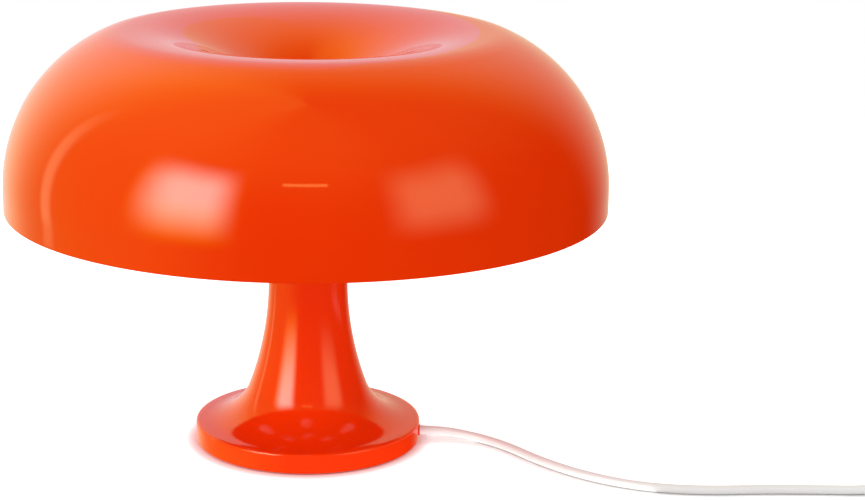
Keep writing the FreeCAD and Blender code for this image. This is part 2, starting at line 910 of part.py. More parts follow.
def rounded_path(points, share=0.45):
    """Straight runs joined by tangent arcs, each as large as its two runs allow. Gives wire and radii."""
    points = [FreeCAD.Vector(*point) for point in points]
    edges = []
    radii = []
    start = points[0]
    for before, corner, after in zip(points, points[1:], points[2:]):
        back = before - corner
        ahead = after - corner
        trim = share * min(back.Length, ahead.Length)
        turn = math.pi - back.getAngle(ahead)
        radii.append(trim / math.tan(turn / 2))
        back.normalize()
        ahead.normalize()
        first = corner + back * trim
        last = corner + ahead * trim
        inward = (back + ahead).normalize()
        middle = corner + inward * (radii[-1] / math.cos(turn / 2) - radii[-1])
        edges.append(Part.LineSegment(start, first).toShape())
        edges.append(Part.Arc(first, middle, last).toShape())
        start = last
    edges.append(Part.LineSegment(start, points[-1]).toShape())
    return Part.Wire(edges), radii


def tube(name, points, radius):
    """A round cord or lead along a rounded path."""
    wire, radii = rounded_path(points)
    start = FreeCAD.Vector(*points[0])
    ahead = FreeCAD.Vector(*points[1]) - start
    section = Part.Wire([Part.makeCircle(radius, start, ahead)])
    shape = wire.makePipeShell([section], True, True)
    expected = math.pi * radius * radius * wire.Length
    print(
        f"{name}: length {wire.Length:.1f} mm, smallest radius {min(radii):.1f} mm,"
        f" volume / (section x length) {shape.Volume / expected:.4f}"
    )
    piece = node(name, doc.addObject("Part::Feature", "Tube"))
    piece.Shape = shape
    return wire.Length


def make_leads():
    """One two-core lead for each lampholder, up the stem, through the carrier, round the arm's tab and
    into the holder from below."""
    radius = size("lead_radius")
    seat = size("carrier_seat")
    block_top = size("cover_top + block_height")
    hole = size("lead_circle") * math.cos(math.radians(45))
    bundle = 1.6 * hole / math.hypot(hole, hole) * size("lead_circle") / 2
    beside = size("arm_width") / 2 + 4 * radius
    entry = size("lead_entry")
    underside = size("bulb_axis_height - holder_radius")
    for number in range(4):
        turn = math.radians(90 * number)
        local = [
            (bundle * 0.7, bundle * 0.7, block_top + 28),
            (bundle * 0.7, bundle * 0.7, seat - size("plug_depth") - 28),
            (hole, hole, seat - size("plug_depth") - 8),
            (hole, hole, seat + 4),
            (size("stem_radius") + 3, beside, seat + 8.5),
            (size("tab_face") + 4, beside - radius, underside - 5.5),
            (entry, 0.8 * radius, underside - 5),
            (entry, 0, underside + 1),
        ]
        turned_round = [
            (x * math.cos(turn) - y * math.sin(turn), x * math.sin(turn) + y * math.cos(turn), z)
            for x, y, z in local
        ]
        start = size("block_length") / 4, (1.5 - number) * (2 * radius + 0.4)
        rise = [(-start[0], start[1], block_top), (-start[0], start[1], block_top + 10)]
        tube(f"holder_lead_{number + 1}", rise + turned_round, radius)
    grouped("holder_leads", [nodes.pop(f"holder_lead_{number}") for number in range(1, 5)])


# The cord's way over the surface, from the bush to the switch.
TO_SWITCH = [
    (61.4, -3.0, 5.6),
    (69.5, -3.0, 5.6),
    (82.0, -2.0, 3.8),
    (97.0, -7.6, 2.4),
    (110.0, -19.5, 2.4),
    (126.0, -40.5, 2.4),
    (149.0, -61.5, 2.4),
    (176.0, -75.5, 2.4),
    (206.0, -79.5, 2.4),
    (238.0, -76.5, 2.4),
    (268.0, -75.6, 2.4),
    (291.0, -75.8, 2.5),
    (305.0, -75.0, 4.5),
    (316.0, -75.0, 4.5),
]
# From the switch round into the coil.
TO_COIL = [
    (364.0, -75.0, 4.5),
    (375.5, -75.0, 4.5),
    (386.5, -70.4, 3.7),
    (394.6, -62.0, 2.8),
    (398.9, -51.3, 2.4),
    (399.4, -39.6, 2.4),
    (399.4, -28.0, 2.4),
]
# From the coil to the plug.
TO_PLUG = [
    (399.4, -9.0, 10.7),
    (399.4, 5.0, 10.7),
    (398.6, 21.0, 6.85),
    (394.74, 35.4, 6.85),
]


def make_cord():
    radius = size("cord_radius")
    for name, points in (("cord_to_switch", TO_SWITCH), ("cord_to_coil", TO_COIL), ("cord_to_plug", TO_PLUG)):
        tube(name, points, radius)


# ---------------------------------------------------------------- switch


def switch_outline(inset):
    half_length = f"switch_length / 2 - ({inset})"
    half_width = f"switch_width / 2 - ({inset})"
    cut_off = "switch_corner"
    return [
        (f"-({half_length})", f"-({half_width}) + {cut_off}"),
        (f"-({half_length}) + {cut_off}", f"-({half_width})"),
        (f"{half_length} - {cut_off}", f"-({half_width})"),
        (half_length, f"-({half_width}) + {cut_off}"),
        (half_length, f"{half_width} - {cut_off}"),
        (f"{half_length} - {cut_off}", half_width),
        (f"-({half_length}) + {cut_off}", half_width),
        (f"-({half_length})", f"{half_width} - {cut_off}"),
    ]


def switch_shell(name, low, height, hollow_low, hollow_height):
    """One half of the case: a block with rounded corners, hollowed to the wall."""
    body = new_body(name)
    rounds = {number: ("switch_corner", "left") for number in (0, 2, 4, 6)}
    pad(body, "XY_Plane", switch_outline("0"), height, offset=low, arcs=rounds)
    doc.recompute()
    inner = new_sketch(body, "XY_Plane", hollow_low)
    half_length = "switch_length / 2 - switch_entry"
    half_width = "switch_width / 2 - switch_wall"
    outline(inner, box_corners(f"-({half_length})", half_length, f"-({half_width})", half_width))
    pocket(body, inner, hollow_height, reverse=True)
    return body


def make_switch():
    roof = "switch_height - switch_wall"
    entry = [("0", "switch_split")]
    lower = switch_shell(
        "switch_lower_shell", "0", "switch_split", "switch_wall", "switch_split - switch_wall"
    )
    upper = switch_shell(
        "switch_upper_shell",
        "switch_split",
        "switch_height - switch_split",
        "switch_split",
        f"{roof} - switch_split",
    )
    bosses = [("switch_boss_x", "switch_boss_y"), ("-switch_boss_x", "-switch_boss_y")]
    pad_circles(lower, "XY_Plane", "switch_boss_radius", bosses, "switch_split - switch_wall", "switch_wall")
    pocket_circles(lower, "XY_Plane", "switch_screw_radius", bosses)
    pocket_circles(lower, "XY_Plane", "switch_head_radius", bosses, "switch_head_height", reverse=True)
    pocket_circles(lower, "YZ_Plane", "cord_radius", entry)

    pad_circles(upper, "XY_Plane", "switch_boss_radius", bosses, f"{roof} - switch_split", "switch_split")
    ear = "window_width / 2"
    ear_height = "pin_drop + pin_radius - switch_wall + 1"
    for near, far in ((ear, f"{ear} + ear_thickness"), (f"-({ear} + ear_thickness)", f"-({ear})")):
        corners = box_corners("-ear_length / 2", "ear_length / 2", near, far)
        pad(upper, "XY_Plane", corners, ear_height, "rocker_pin_z - pin_radius - 1")
    doc.recompute()
    pocket_circles(
        upper,
        "XY_Plane",
        "switch_screw_radius",
        bosses,
        f"{roof} - switch_split",
        reverse=True,
        offset="switch_split",
    )
    window = box_corners("-window_length / 2", "window_length / 2", "-window_width / 2", "window_width / 2")
    pocket_box(upper, "XY_Plane", window)
    pocket_circles(upper, "YZ_Plane", "cord_radius", entry)
    pin_length = "window_width + 2 * ear_thickness"
    pin_hole = [("0", "rocker_pin_z")]
    sketch = new_sketch(upper, "XZ_Plane")
    circles(sketch, "pin_radius", pin_hole)
    hole = pocket(upper, sketch)
    hole.Type = "Length"
    bind(hole, Length=pin_length)

    pin = cylinder("pin_radius", pin_length)
    pin.Placement = FreeCAD.Placement(FreeCAD.Vector(), FreeCAD.Rotation(FreeCAD.Vector(1, 0, 0), 90))
    bind(pin, Placement__Base__y=f"({pin_length}) / 2", Placement__Base__z="rocker_pin_z")
    node("rocker_pin", pin)

    rocker = new_body("switch_rocker")
    half = "window_length / 2 - rocker_clearance - rocker_rise * sin(rocker_tilt)"
    rocker_corners = [
        (f"-({half})", "-rocker_drop + pin_drop / 2"),
        ("-pin_drop", "-rocker_drop"),
        ("pin_drop", "-rocker_drop"),
        (half, "-rocker_drop + pin_drop / 2"),
        (half, "pin_drop + rocker_rise"),
        ("0", "pin_drop + rocker_rise - rocker_dish"),
        (f"-({half})", "pin_drop + rocker_rise"),
    ]
    pad(rocker, "XZ_Plane", rocker_corners, "window_width - 2 * rocker_clearance", both_ways=True)
    pocket_circles(rocker, "XZ_Plane", "pin_radius + pin_clearance", [("0", "0")])
    rocker.Placement = FreeCAD.Placement(FreeCAD.Vector(), FreeCAD.Rotation(FreeCAD.Vector(0, 1, 0), 1))
    bind(rocker, Placement__Rotation__Angle="rocker_tilt", Placement__Base__z="rocker_pin_z")

    screws = [
        screw(
            "switch_screw_radius",
            f"{roof} - switch_head_height",
            "switch_head_radius",
            "switch_head_height",
            "switch_head_height",
            *place,
        )
        for place in bosses
    ]
    grouped("switch_screws", screws)
    contacts = [
        block(
            f"{side} - contact_length / 2",
            "contact_length",
            "-contact_width / 2",
            "contact_width",
            "switch_wall",
            "contact_height",
        )
        for side in ("contact_place", "-contact_place")
    ]
    grouped("switch_contacts", contacts)

    for name in (
        "switch_lower_shell",
        "switch_upper_shell",
        "switch_rocker",
        "rocker_pin",
        "switch_screws",
        "switch_contacts",
    ):
        bind(nodes[name], Placement__Base__x="switch_x")
        raised = "switch_y"
        if name == "rocker_pin":
            raised = f"switch_y + ({pin_length}) / 2"
        bind(nodes[name], Placement__Base__y=raised)


# ---------------------------------------------------------------- coil, tie and plug


def make_coil():
    """The cord's put-away length as one ring, stepped back where the cord runs in and out, with a tie."""
    ring = cut(
        cylinder("coil_outer", "coil_height", "0", "coil_x", "coil_y"),
        cylinder("coil_inner", "coil_height", "0", "coil_x", "coil_y"),
    )
    band = "coil_outer - coil_inner"
    side = "coil_y - tie_width / 2"
    outside = block(
        "coil_x - coil_outer - tie_thickness",
        f"{band} + 2 * tie_thickness",
        side,
        "tie_width",
        "0",
        "coil_height + tie_thickness",
    )
    inside = block(
        "coil_x - coil_outer",
        band,
        side,
        "tie_width",
        "tie_thickness",
        "coil_height - tie_thickness",
    )
    tie = node("coil_tie", cut(outside, inside))
    (x_in, y_in, z_in), (x_out, y_out, z_out) = TO_COIL[-1], TO_PLUG[0]
    room = "cord_radius + cord_room"
    way_in = block(
        f"{x_in} - ({room})",
        "coil_outer",
        f"{y_in} - coil_outer",
        "coil_outer",
        "-cord_room",
        f"{z_in} + ({room}) + cord_room",
    )
    way_out = block(
        f"{x_out} - ({room})", "coil_outer", str(y_out), "coil_outer", f"{z_out} - ({room})", "coil_height"
    )
    node("cord_coil", cut(cut(ring, tie), fused([way_in, way_out])))


def make_plug():
    middle = "plug_thickness / 2"
    body = new_body("plug_body")
    front = "plug_neck_length + plug_body_length"
    shoulder = "plug_neck_length + plug_body_length / 2"
    sides = [
        ("plug_neck_length", "-plug_rear_width / 2"),
        (shoulder, "-plug_width / 2"),
        (front, "-plug_width / 2"),
        (front, "plug_width / 2"),
        (shoulder, "plug_width / 2"),
        ("plug_neck_length", "plug_rear_width / 2"),
    ]
    block_pad = pad(body, "XY_Plane", sides, "plug_thickness")
    doc.recompute()
    level_edges = [
        f"Edge{number}" for number, edge in enumerate(body.Shape.Edges, 1) if edge.BoundBox.ZLength < 0.001
    ]
    fillet = body.newObject("PartDesign::Fillet", "Rounded")
    fillet.Base = (block_pad, level_edges)
    bind(fillet, Radius="plug_edge")
    neck_sketch = new_sketch(body, "XZ_Plane")
    outline(
        neck_sketch,
        [
            ("0", middle),
            ("plug_neck_length + 1", middle),
            ("plug_neck_length + 1", f"{middle} + plug_neck_front"),
            ("0", f"{middle} + plug_neck_rear"),
        ],
    )
    neck = body.newObject("PartDesign::Revolution", "Neck")
    neck.Profile = neck_sketch
    neck_sketch.addGeometry(
        Part.LineSegment(FreeCAD.Vector(0, size(middle), 0), FreeCAD.Vector(10, size(middle), 0)), True
    )
    fix_point(neck_sketch, 4, 1, ("0", middle))
    fix_point(neck_sketch, 4, 2, ("plug_neck_length", middle))
    neck.ReferenceAxis = (neck_sketch, ["Axis0"])

    pins = []
    sleeves = []
    for sign in ("", "-"):
        side = f"{sign}pin_spacing / 2"
        thin = "plug_pin_radius - sleeve_wall"
        root = lying_cylinder(thin, "sleeve_length", front, side, middle)
        tip = lying_cylinder(
            "plug_pin_radius", "pin_length - sleeve_length", f"{front} + sleeve_length", side, middle
        )
        pins.append(fused([root, tip]))
        sleeve = lying_cylinder("plug_pin_radius", "sleeve_length", front, side, middle)
        sleeve_hole = lying_cylinder(thin, "sleeve_length", front, side, middle)
        sleeves.append(cut(sleeve, sleeve_hole))
    grouped("plug_pins", pins)
    grouped("plug_sleeves", sleeves)
    heading = FreeCAD.Rotation(FreeCAD.Vector(0, 0, 1), 1)
    for name in ("plug_body", "plug_pins", "plug_sleeves"):
        nodes[name].Placement = FreeCAD.Placement(FreeCAD.Vector(), heading)
        bind(
            nodes[name],
            Placement__Rotation__Angle="plug_heading",
            Placement__Base__x="plug_x",
            Placement__Base__y="plug_y",
        )


make_shade()
make_stem_foot()
make_base()
make_supply()
make_carrier()
for lamp_number in range(1, 5):
    make_lamp(lamp_number)
make_tips_and_nuts()
make_leads()
make_cord()
make_switch()
make_coil()
make_plug()
doc.recompute()

faults = [
    f"{thing.Name} ({thing.Label}): {thing.State}"
    for thing in doc.Objects
    if "Invalid" in thing.State or "Error" in thing.State
]
faults += [name for name, thing in nodes.items() if thing.Shape.isNull() or not thing.Shape.isValid()]
if faults:
    raise ValueError("failed: " + ", ".join(faults))
for name, thing in nodes.items():
    thing.Shape.exportStep(f"parts/{name}.step")
print(len(nodes), "nodes")
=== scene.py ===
import math

import bmesh
import bpy
import numpy as np
from mathutils import Matrix, Vector


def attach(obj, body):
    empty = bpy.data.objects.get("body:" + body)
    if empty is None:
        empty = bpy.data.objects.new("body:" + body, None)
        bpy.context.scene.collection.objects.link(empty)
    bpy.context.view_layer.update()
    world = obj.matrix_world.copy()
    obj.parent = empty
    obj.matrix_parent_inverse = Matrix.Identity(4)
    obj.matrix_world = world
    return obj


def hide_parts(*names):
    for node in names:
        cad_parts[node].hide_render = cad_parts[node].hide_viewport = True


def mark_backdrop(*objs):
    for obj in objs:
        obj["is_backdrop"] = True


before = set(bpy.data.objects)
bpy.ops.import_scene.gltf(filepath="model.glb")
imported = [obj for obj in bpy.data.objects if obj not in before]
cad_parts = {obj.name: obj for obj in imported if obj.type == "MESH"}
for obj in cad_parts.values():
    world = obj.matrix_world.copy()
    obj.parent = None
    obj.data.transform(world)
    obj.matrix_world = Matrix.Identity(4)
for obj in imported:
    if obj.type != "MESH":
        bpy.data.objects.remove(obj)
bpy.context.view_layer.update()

# ---------------------------------------------------------------- camera
# The photograph was taken from about 1.2 m away with a long lens that looks down by 15 degrees, and
# the picture leans a little to the left.

LOOKS_DOWN = math.radians(15)
LEANS = -0.0157
CAMERA_PLACE = Vector((0.06682, -1.123, 0.4078))
FOCAL_PIXELS = 2163
PHOTO_WIDTH = 865
SENSOR_WIDTH = 36

level = Vector((1, 0, 0))
rise = Vector((0, math.sin(LOOKS_DOWN), math.cos(LOOKS_DOWN)))
ahead = Vector((0, math.cos(LOOKS_DOWN), -math.sin(LOOKS_DOWN)))
camera_right = level * math.cos(LEANS) - rise * math.sin(LEANS)
camera_up = level * math.sin(LEANS) + rise * math.cos(LEANS)
camera_data = bpy.data.cameras.new("camera")
camera_data.sensor_width = SENSOR_WIDTH
camera_data.lens = SENSOR_WIDTH * FOCAL_PIXELS / PHOTO_WIDTH
camera_data.clip_start = 0.05
camera = bpy.data.objects.new("camera", camera_data)
camera.matrix_world = (
    Matrix.Translation(CAMERA_PLACE)
    @ Matrix((camera_right, camera_up, -ahead)).transposed().to_4x4()
)
bpy.context.collection.objects.link(camera)
bpy.context.scene.camera = camera

# ---------------------------------------------------------------- cord
# A round two-core flex with a white PVC sheath, 4.8 mm thick and 1.8 m long. It leaves the foot through
# its bush, runs over the table to the switch, and is wound into a tied coil before the plug.

CORD = 0.0048
# The way over the table from the bush to the switch, in metres.
TO_SWITCH = [
    (0.0614, -0.0030, 0.0056),
    (0.0695, -0.0030, 0.0056),
    (0.0820, -0.0020, 0.0038),
    (0.0970, -0.0076, 0.0024),
    (0.1100, -0.0195, 0.0024),
    (0.1260, -0.0405, 0.0024),
    (0.1490, -0.0615, 0.0024),
    (0.1760, -0.0755, 0.0024),
    (0.2060, -0.0795, 0.0024),
    (0.2380, -0.0765, 0.0024),
    (0.2680, -0.0756, 0.0024),
    (0.2910, -0.0758, 0.0025),
    (0.3050, -0.0750, 0.0045),
    (0.3160, -0.0750, 0.0045),
]
# From the switch round into the coil, and out of the coil to the plug.
TO_COIL = [
    (0.3640, -0.0750, 0.0045),
    (0.3755, -0.0750, 0.0045),
    (0.3865, -0.0704, 0.0037),
    (0.3946, -0.0620, 0.0028),
    (0.3989, -0.0513, 0.0024),
    (0.3994, -0.0396, 0.0024),
    (0.3994, -0.0280, 0.0024),
]
TO_PLUG = [
    (0.3994, -0.0090, 0.0107),
    (0.3994, 0.0050, 0.0107),
    (0.3986, 0.0210, 0.00685),
    (0.39474, 0.0354, 0.00685),
]
COIL_CENTRE = (0.3678, -0.0185)
COIL_MIDDLE = 0.02615
# Where each turn lies across the coil, in cord diameters from its middle, and in which layer.
TURNS = [(1, 0), (0, 0), (-1, 0), (-0.5, 1), (-1, 2), (0, 2), (0.5, 1), (1.5, 1), (1, 2)]
LAYER = CORD * math.sqrt(0.75)
# In degrees round the coil: where it starts and ends, its first step over, how long a step takes, and how
# much sooner in its turn the next one comes.
COIL_ENDS = 16
FIRST_STEP = 322
STEP_TAKES = 72
STEP_SOONER = 40.5
POINTS_PER_TURN = 15


def coil_turns():
    """Points of the turns. Turn k keeps its own place across the coil until it steps over, by s*s*(3-2*s),
    to that of turn k+1. Each step comes sooner in its turn than the one before, so that the place it steps
    into is being left."""
    turns = np.array(TURNS)
    places = np.column_stack(
        [COIL_MIDDLE + turns[:, 0] * CORD, CORD / 2 + turns[:, 1] * LAYER]
    )
    steps = len(turns) - 1
    ends = math.radians(COIL_ENDS)
    angle = np.linspace(-ends, ends + 2 * math.pi * steps, POINTS_PER_TURN * steps)[1:-1]
    step_at = math.radians(FIRST_STEP) + np.arange(steps) * (2 * math.pi - math.radians(STEP_SOONER))
    share = np.clip((angle[:, None] - step_at) / math.radians(STEP_TAKES) + 0.5, 0, 1)
    share = share * share * (3 - 2 * share)
    place = places[0] + share @ np.diff(places, axis=0)
    return np.column_stack(
        [
            COIL_CENTRE[0] + place[:, 0] * np.cos(angle),
            COIL_CENTRE[1] + place[:, 0] * np.sin(angle),
            place[:, 1],
        ]
    )


def shown(thing):
    bpy.context.collection.objects.link(thing)
    return thing


def laid_cord(name, route):
    """One smooth round cord whose spline has the route's points as its control points."""
    line = bpy.data.curves.new(name, "CURVE")
    line.dimensions = "3D"
    line.bevel_depth = CORD / 2
    line.bevel_resolution = 6
    line.resolution_u = 10
    line.use_fill_caps = True
    spline = line.splines.new("NURBS")
    spline.points.add(len(route) - 1)
    spline.points.foreach_set("co", np.column_stack([route, np.ones(len(route))]).ravel())
    spline.order_u = 3
    spline.use_endpoint_u = True
    return shown(bpy.data.objects.new(name, line))


def named_material(name):
    """An empty node material: its node tree, its Principled shader and the material."""
    material = bpy.data.materials.new(name)
    material.use_nodes = True
    tree = material.node_tree
    return tree, tree.nodes["Principled BSDF"], material


def made(tree, kind, values=None, **settings):
    """A node with its settings, and its input sockets by name or number."""
    one = tree.nodes.new(kind)
    for key, value in settings.items():
        setattr(one, key, value)
    for key, value in (values or {}).items():
        if isinstance(value, bpy.types.NodeSocket):
            tree.links.new(value, one.inputs[key])
        else:
            one.inputs[key].default_value = value
    return one


def noise(tree, where, scale, detail=3.0, rough=0.5):
    return made(
        tree, "ShaderNodeTexNoise", {"Vector": where, "Scale": scale, "Detail": detail, "Roughness": rough}
    ).outputs[0]


def spread(tree, value, low, high, to_low=0.0, to_high=1.0):
    """A value stretched from one range to another and held at its ends."""
    limits = {1: low, 2: high, 3: to_low, 4: to_high}
    return made(tree, "ShaderNodeMapRange", {0: value, **limits}).outputs[0]


def mixed(tree, share, first, second):
    """Two colours mixed by share."""
    one = made(tree, "ShaderNodeMix", {0: share}, data_type="RGBA")
    for number, value in ((6, first), (7, second)):
        if isinstance(value, bpy.types.NodeSocket):
            tree.links.new(value, one.inputs[number])
        else:
            one.inputs[number].default_value = value
    return one.outputs[2]


def colour(red, green, blue):
    return (red, green, blue, 1.0)


def group_of(name, inputs, outputs):
    """An empty shader node group with its sockets, and its two end nodes."""
    kinds = {"colour": "NodeSocketColor", "value": "NodeSocketFloat", "vector": "NodeSocketVector"}
    group = bpy.data.node_groups.new(name, "ShaderNodeTree")
    for way, sockets in (("INPUT", inputs), ("OUTPUT", outputs)):
        for label, kind in sockets.items():
            group.interface.new_socket(label, in_out=way, socket_type=kinds[kind])
    return group, group.nodes.new("NodeGroupInput").outputs, group.nodes.new("NodeGroupOutput")


def placed_group(tree, group, values):
    one = made(tree, "ShaderNodeGroup", node_tree=group)
    for key, value in values.items():
        if isinstance(value, bpy.types.NodeSocket):
            tree.links.new(value, one.inputs[key])
        else:
            one.inputs[key].default_value = value
    return one.outputs


def moulded_group():
    """The skin of a moulded plastic: slow drifts of its pigment, the faint waves that its mould leaves,
    fine dust that dulls it in places, and corners that handling has rubbed paler."""
    group, given, result = group_of(
        "moulded skin",
        {
            "Colour": "colour",
            "Drift": "value",
            "Roughness": "value",
            "Dust": "value",
            "Waves": "value",
            "Rubbed": "value",
        },
        {"Colour": "colour", "Roughness": "value", "Height": "value"},
    )
    where = made(group, "ShaderNodeTexCoord").outputs["Object"]
    drift = spread(group, noise(group, where, 9.0, 2.0), 0.3, 0.7, -1.0, 1.0)
    value = made(group, "ShaderNodeMath", {0: drift, 1: given["Drift"], 2: 1.0}, operation="MULTIPLY_ADD")
    shade = made(group, "ShaderNodeHueSaturation", {"Value": value.outputs[0], "Color": given["Colour"]})
    edge = made(group, "ShaderNodeNewGeometry").outputs["Pointiness"]
    patches = spread(group, noise(group, where, 260.0, 4.0), 0.42, 0.62)
    rubbed = made(
        group, "ShaderNodeMath", {0: spread(group, edge, 0.53, 0.62), 1: patches}, operation="MULTIPLY"
    )
    rubbed = made(group, "ShaderNodeMath", {0: rubbed.outputs[0], 1: given["Rubbed"]}, operation="MULTIPLY")
    pale = mixed(group, 0.35, given["Colour"], colour(0.95, 0.9, 0.85))
    group.links.new(mixed(group, rubbed.outputs[0], shade.outputs[0], pale), result.inputs["Colour"])
    film = spread(group, noise(group, where, 38.0, 5.0, 0.6), 0.45, 0.75)
    specks = spread(group, noise(group, where, 2600.0, 2.0, 0.7), 0.66, 0.74)
    dull = made(group, "ShaderNodeMath", {0: specks, 1: 2.0, 2: film}, operation="MULTIPLY_ADD")
    dust = made(group, "ShaderNodeMath", {0: dull.outputs[0], 1: given["Dust"]}, operation="MULTIPLY")
    rough = made(group, "ShaderNodeMath", {0: dust.outputs[0], 1: given["Roughness"]}, operation="ADD")
    group.links.new(rough.outputs[0], result.inputs["Roughness"])
    slow = noise(group, where, 55.0, 1.0)
    fine = noise(group, where, 900.0, 2.0)
    waves = made(group, "ShaderNodeMath", {0: fine, 1: 0.12, 2: slow}, operation="MULTIPLY_ADD")
    height = made(group, "ShaderNodeMath", {0: waves.outputs[0], 1: given["Waves"]}, operation="MULTIPLY")
    group.links.new(height.outputs[0], result.inputs["Height"])
    return group


moulded = moulded_group()


def moulded_plastic(name, tint, rough, drift, dust, waves=0.00001, rubbed=0.5):
    """A moulded plastic with the shared skin."""
    tree, shader, material = named_material(name)
    skin = placed_group(
        tree,
        moulded,
        {
            "Colour": colour(*tint),
            "Drift": drift,
            "Roughness": rough,
            "Dust": dust,
            "Waves": waves,
            "Rubbed": rubbed,
        },
    )
    tree.links.new(skin["Colour"], shader.inputs["Base Color"])
    tree.links.new(skin["Roughness"], shader.inputs["Roughness"])
    bump = made(tree, "ShaderNodeBump", {"Height": skin["Height"], "Distance": 1.0, "Strength": 1.0})
    tree.links.new(bump.outputs[0], shader.inputs["Normal"])
    shader.inputs["IOR"].default_value = 1.5
    return material


white_sheath = moulded_plastic("white_sheath", (0.90, 0.90, 0.89), 0.32, 0.02, 0.06, 0.00002, 0.0)

cord_to_switch = laid_cord("cord_to_switch_line", np.array(TO_SWITCH))
cord_to_plug = laid_cord("cord_to_plug_line", np.vstack([TO_COIL, coil_turns(), TO_PLUG]))
for line in (cord_to_switch, cord_to_plug):
    line.data.materials.append(white_sheath)
    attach(line, "lamp")
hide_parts("cord_to_switch")
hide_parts("cord_to_coil", "cord_coil", "cord_to_plug")

# ---------------------------------------------------------------- stem and foot
# One thick moulding in glossy orange-red plastic: a straight tube that opens through two tangent arcs
# into a flat disc. It is hollow and open below, with a rebate for the cover.

FOOT_RADIUS = 0.061
FOOT_TOP = 0.0115
FOOT_BOTTOM = 0.0008
FOOT_SLOPE = math.radians(6)
FLARE = 0.0295
STEM_CURVE = 0.172
STEM_TURN = math.radians(20)
STEM_RADIUS = 0.0213
STEM_TOP = 0.134
WALL = 0.003
COVER_TOP = 0.0026
REBATE_RADIUS = 0.0594


def arc(centre, radius, start, end, steps):
    """Points at centre + radius * (cos a, sin a) while a goes from start to end, in radians."""
    angle = np.linspace(start, end, steps)
    return np.column_stack([centre[0] + radius * np.cos(angle), centre[1] + radius * np.sin(angle)])


def eased(corners, radii, closed=True, steps=5):
    """A profile whose corners are rounded. A corner p between a and b gives way to the curve
    (1-s)^2 A + 2 s (1-s) p + s^2 B, where A and B lie on its two sides, its radius away from p."""
    corners = np.asarray(corners, float)
    radii = np.broadcast_to(radii, len(corners))
    share = np.linspace(0, 1, steps)[:, None]
    points = []
    for number, (corner, radius) in enumerate(zip(corners, radii)):
        at_end = number in (0, len(corners) - 1)
        if radius <= 0 or (at_end and not closed):
            points.append(corner[None])
            continue
        sides = [corners[number - 1] - corner, corners[(number + 1) % len(corners)] - corner]
        lengths = [np.linalg.norm(side) for side in sides]
        reach = min(radius, 0.48 * min(lengths))
        first, last = (corner + side / length * reach for side, length in zip(sides, lengths))
        points.append((1 - share) ** 2 * first + 2 * share * (1 - share) * corner + share**2 * last)
    return np.vstack(points)


def turned_points(profile, segments, swell=None):
    """Each profile point (r, z) carried round the axis: (r cos t, r sin t, z) for t over one turn.
    swell(t, z) is added to r."""
    angle = np.linspace(0, 2 * np.pi, segments, endpoint=False)
    radius = np.repeat(profile[:, :1], segments, axis=1)
    height = np.repeat(profile[:, 1:], segments, axis=1)
    if swell is not None:
        radius = radius + swell(angle[None, :], height, radius)
    return np.stack([radius * np.cos(angle), radius * np.sin(angle), height], axis=-1)


def turned(name, profile, segments=192, swell=None):
    """A closed mesh turned from a profile. A profile that starts and ends on the axis gets a pole at each
    end; any other is a loop. Seen with the axis up, the profile runs clockwise, so faces look outwards."""
    poles = profile[0, 0] == 0 and profile[-1, 0] == 0
    ring_profile = profile[1:-1] if poles else profile
    rings = turned_points(ring_profile, segments, swell)
    count = len(ring_profile)
    index = np.arange(count * segments).reshape(count, segments)
    if not poles:
        index = np.vstack([index, index[:1]])
    beside = np.roll(index, -1, axis=1)
    quads = np.stack([index[:-1], beside[:-1], beside[1:], index[1:]], axis=-1).reshape(-1, 4)
    points = rings.reshape(-1, 3)
    faces = quads.tolist()
    if poles:
        points = np.vstack([points, [0, 0, profile[0, 1]], [0, 0, profile[-1, 1]]])
        start, end = count * segments, count * segments + 1
        faces += [[start, b, a] for a, b in zip(index[0].tolist(), beside[0].tolist())]
        faces += [[end, a, b] for a, b in zip(index[-1].tolist(), beside[-1].tolist())]
    return mesh_piece(name, points, faces)


def mesh_piece(name, points, faces):
    """A smooth-shaded mesh object from points in metres."""
    mesh = bpy.data.meshes.new(name)
    mesh.from_pydata(np.asarray(points).tolist(), [], faces)
    mesh.polygons.foreach_set("use_smooth", np.ones(len(mesh.polygons), bool))
    mesh.update()
    return shown(bpy.data.objects.new(name, mesh))


def faced_outwards(piece):
    """Turns the faces round if the closed mesh encloses a negative volume."""
    mesh = piece.data
    mesh.calc_loop_triangles()
    corners = np.empty(len(mesh.loop_triangles) * 3, np.int32)
    mesh.loop_triangles.foreach_get("vertices", corners)
    places = np.empty(len(mesh.vertices) * 3)
    mesh.vertices.foreach_get("co", places)
    first, second, third = places.reshape(-1, 3)[corners.reshape(-1, 3)].transpose(1, 0, 2)
    if (first * np.cross(second, third)).sum() < 0:
        mesh.flip_normals()
    return piece


def finished(piece, body, slot, material, *nodes):
    """Gives a new piece its material and its body, and hides the solids that it stands for; slot is not used.
    """
    faced_outwards(piece)
    if material is not None:
        piece.data.materials.append(material)
    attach(piece, body)
    if nodes:
        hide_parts(*nodes)
    return piece


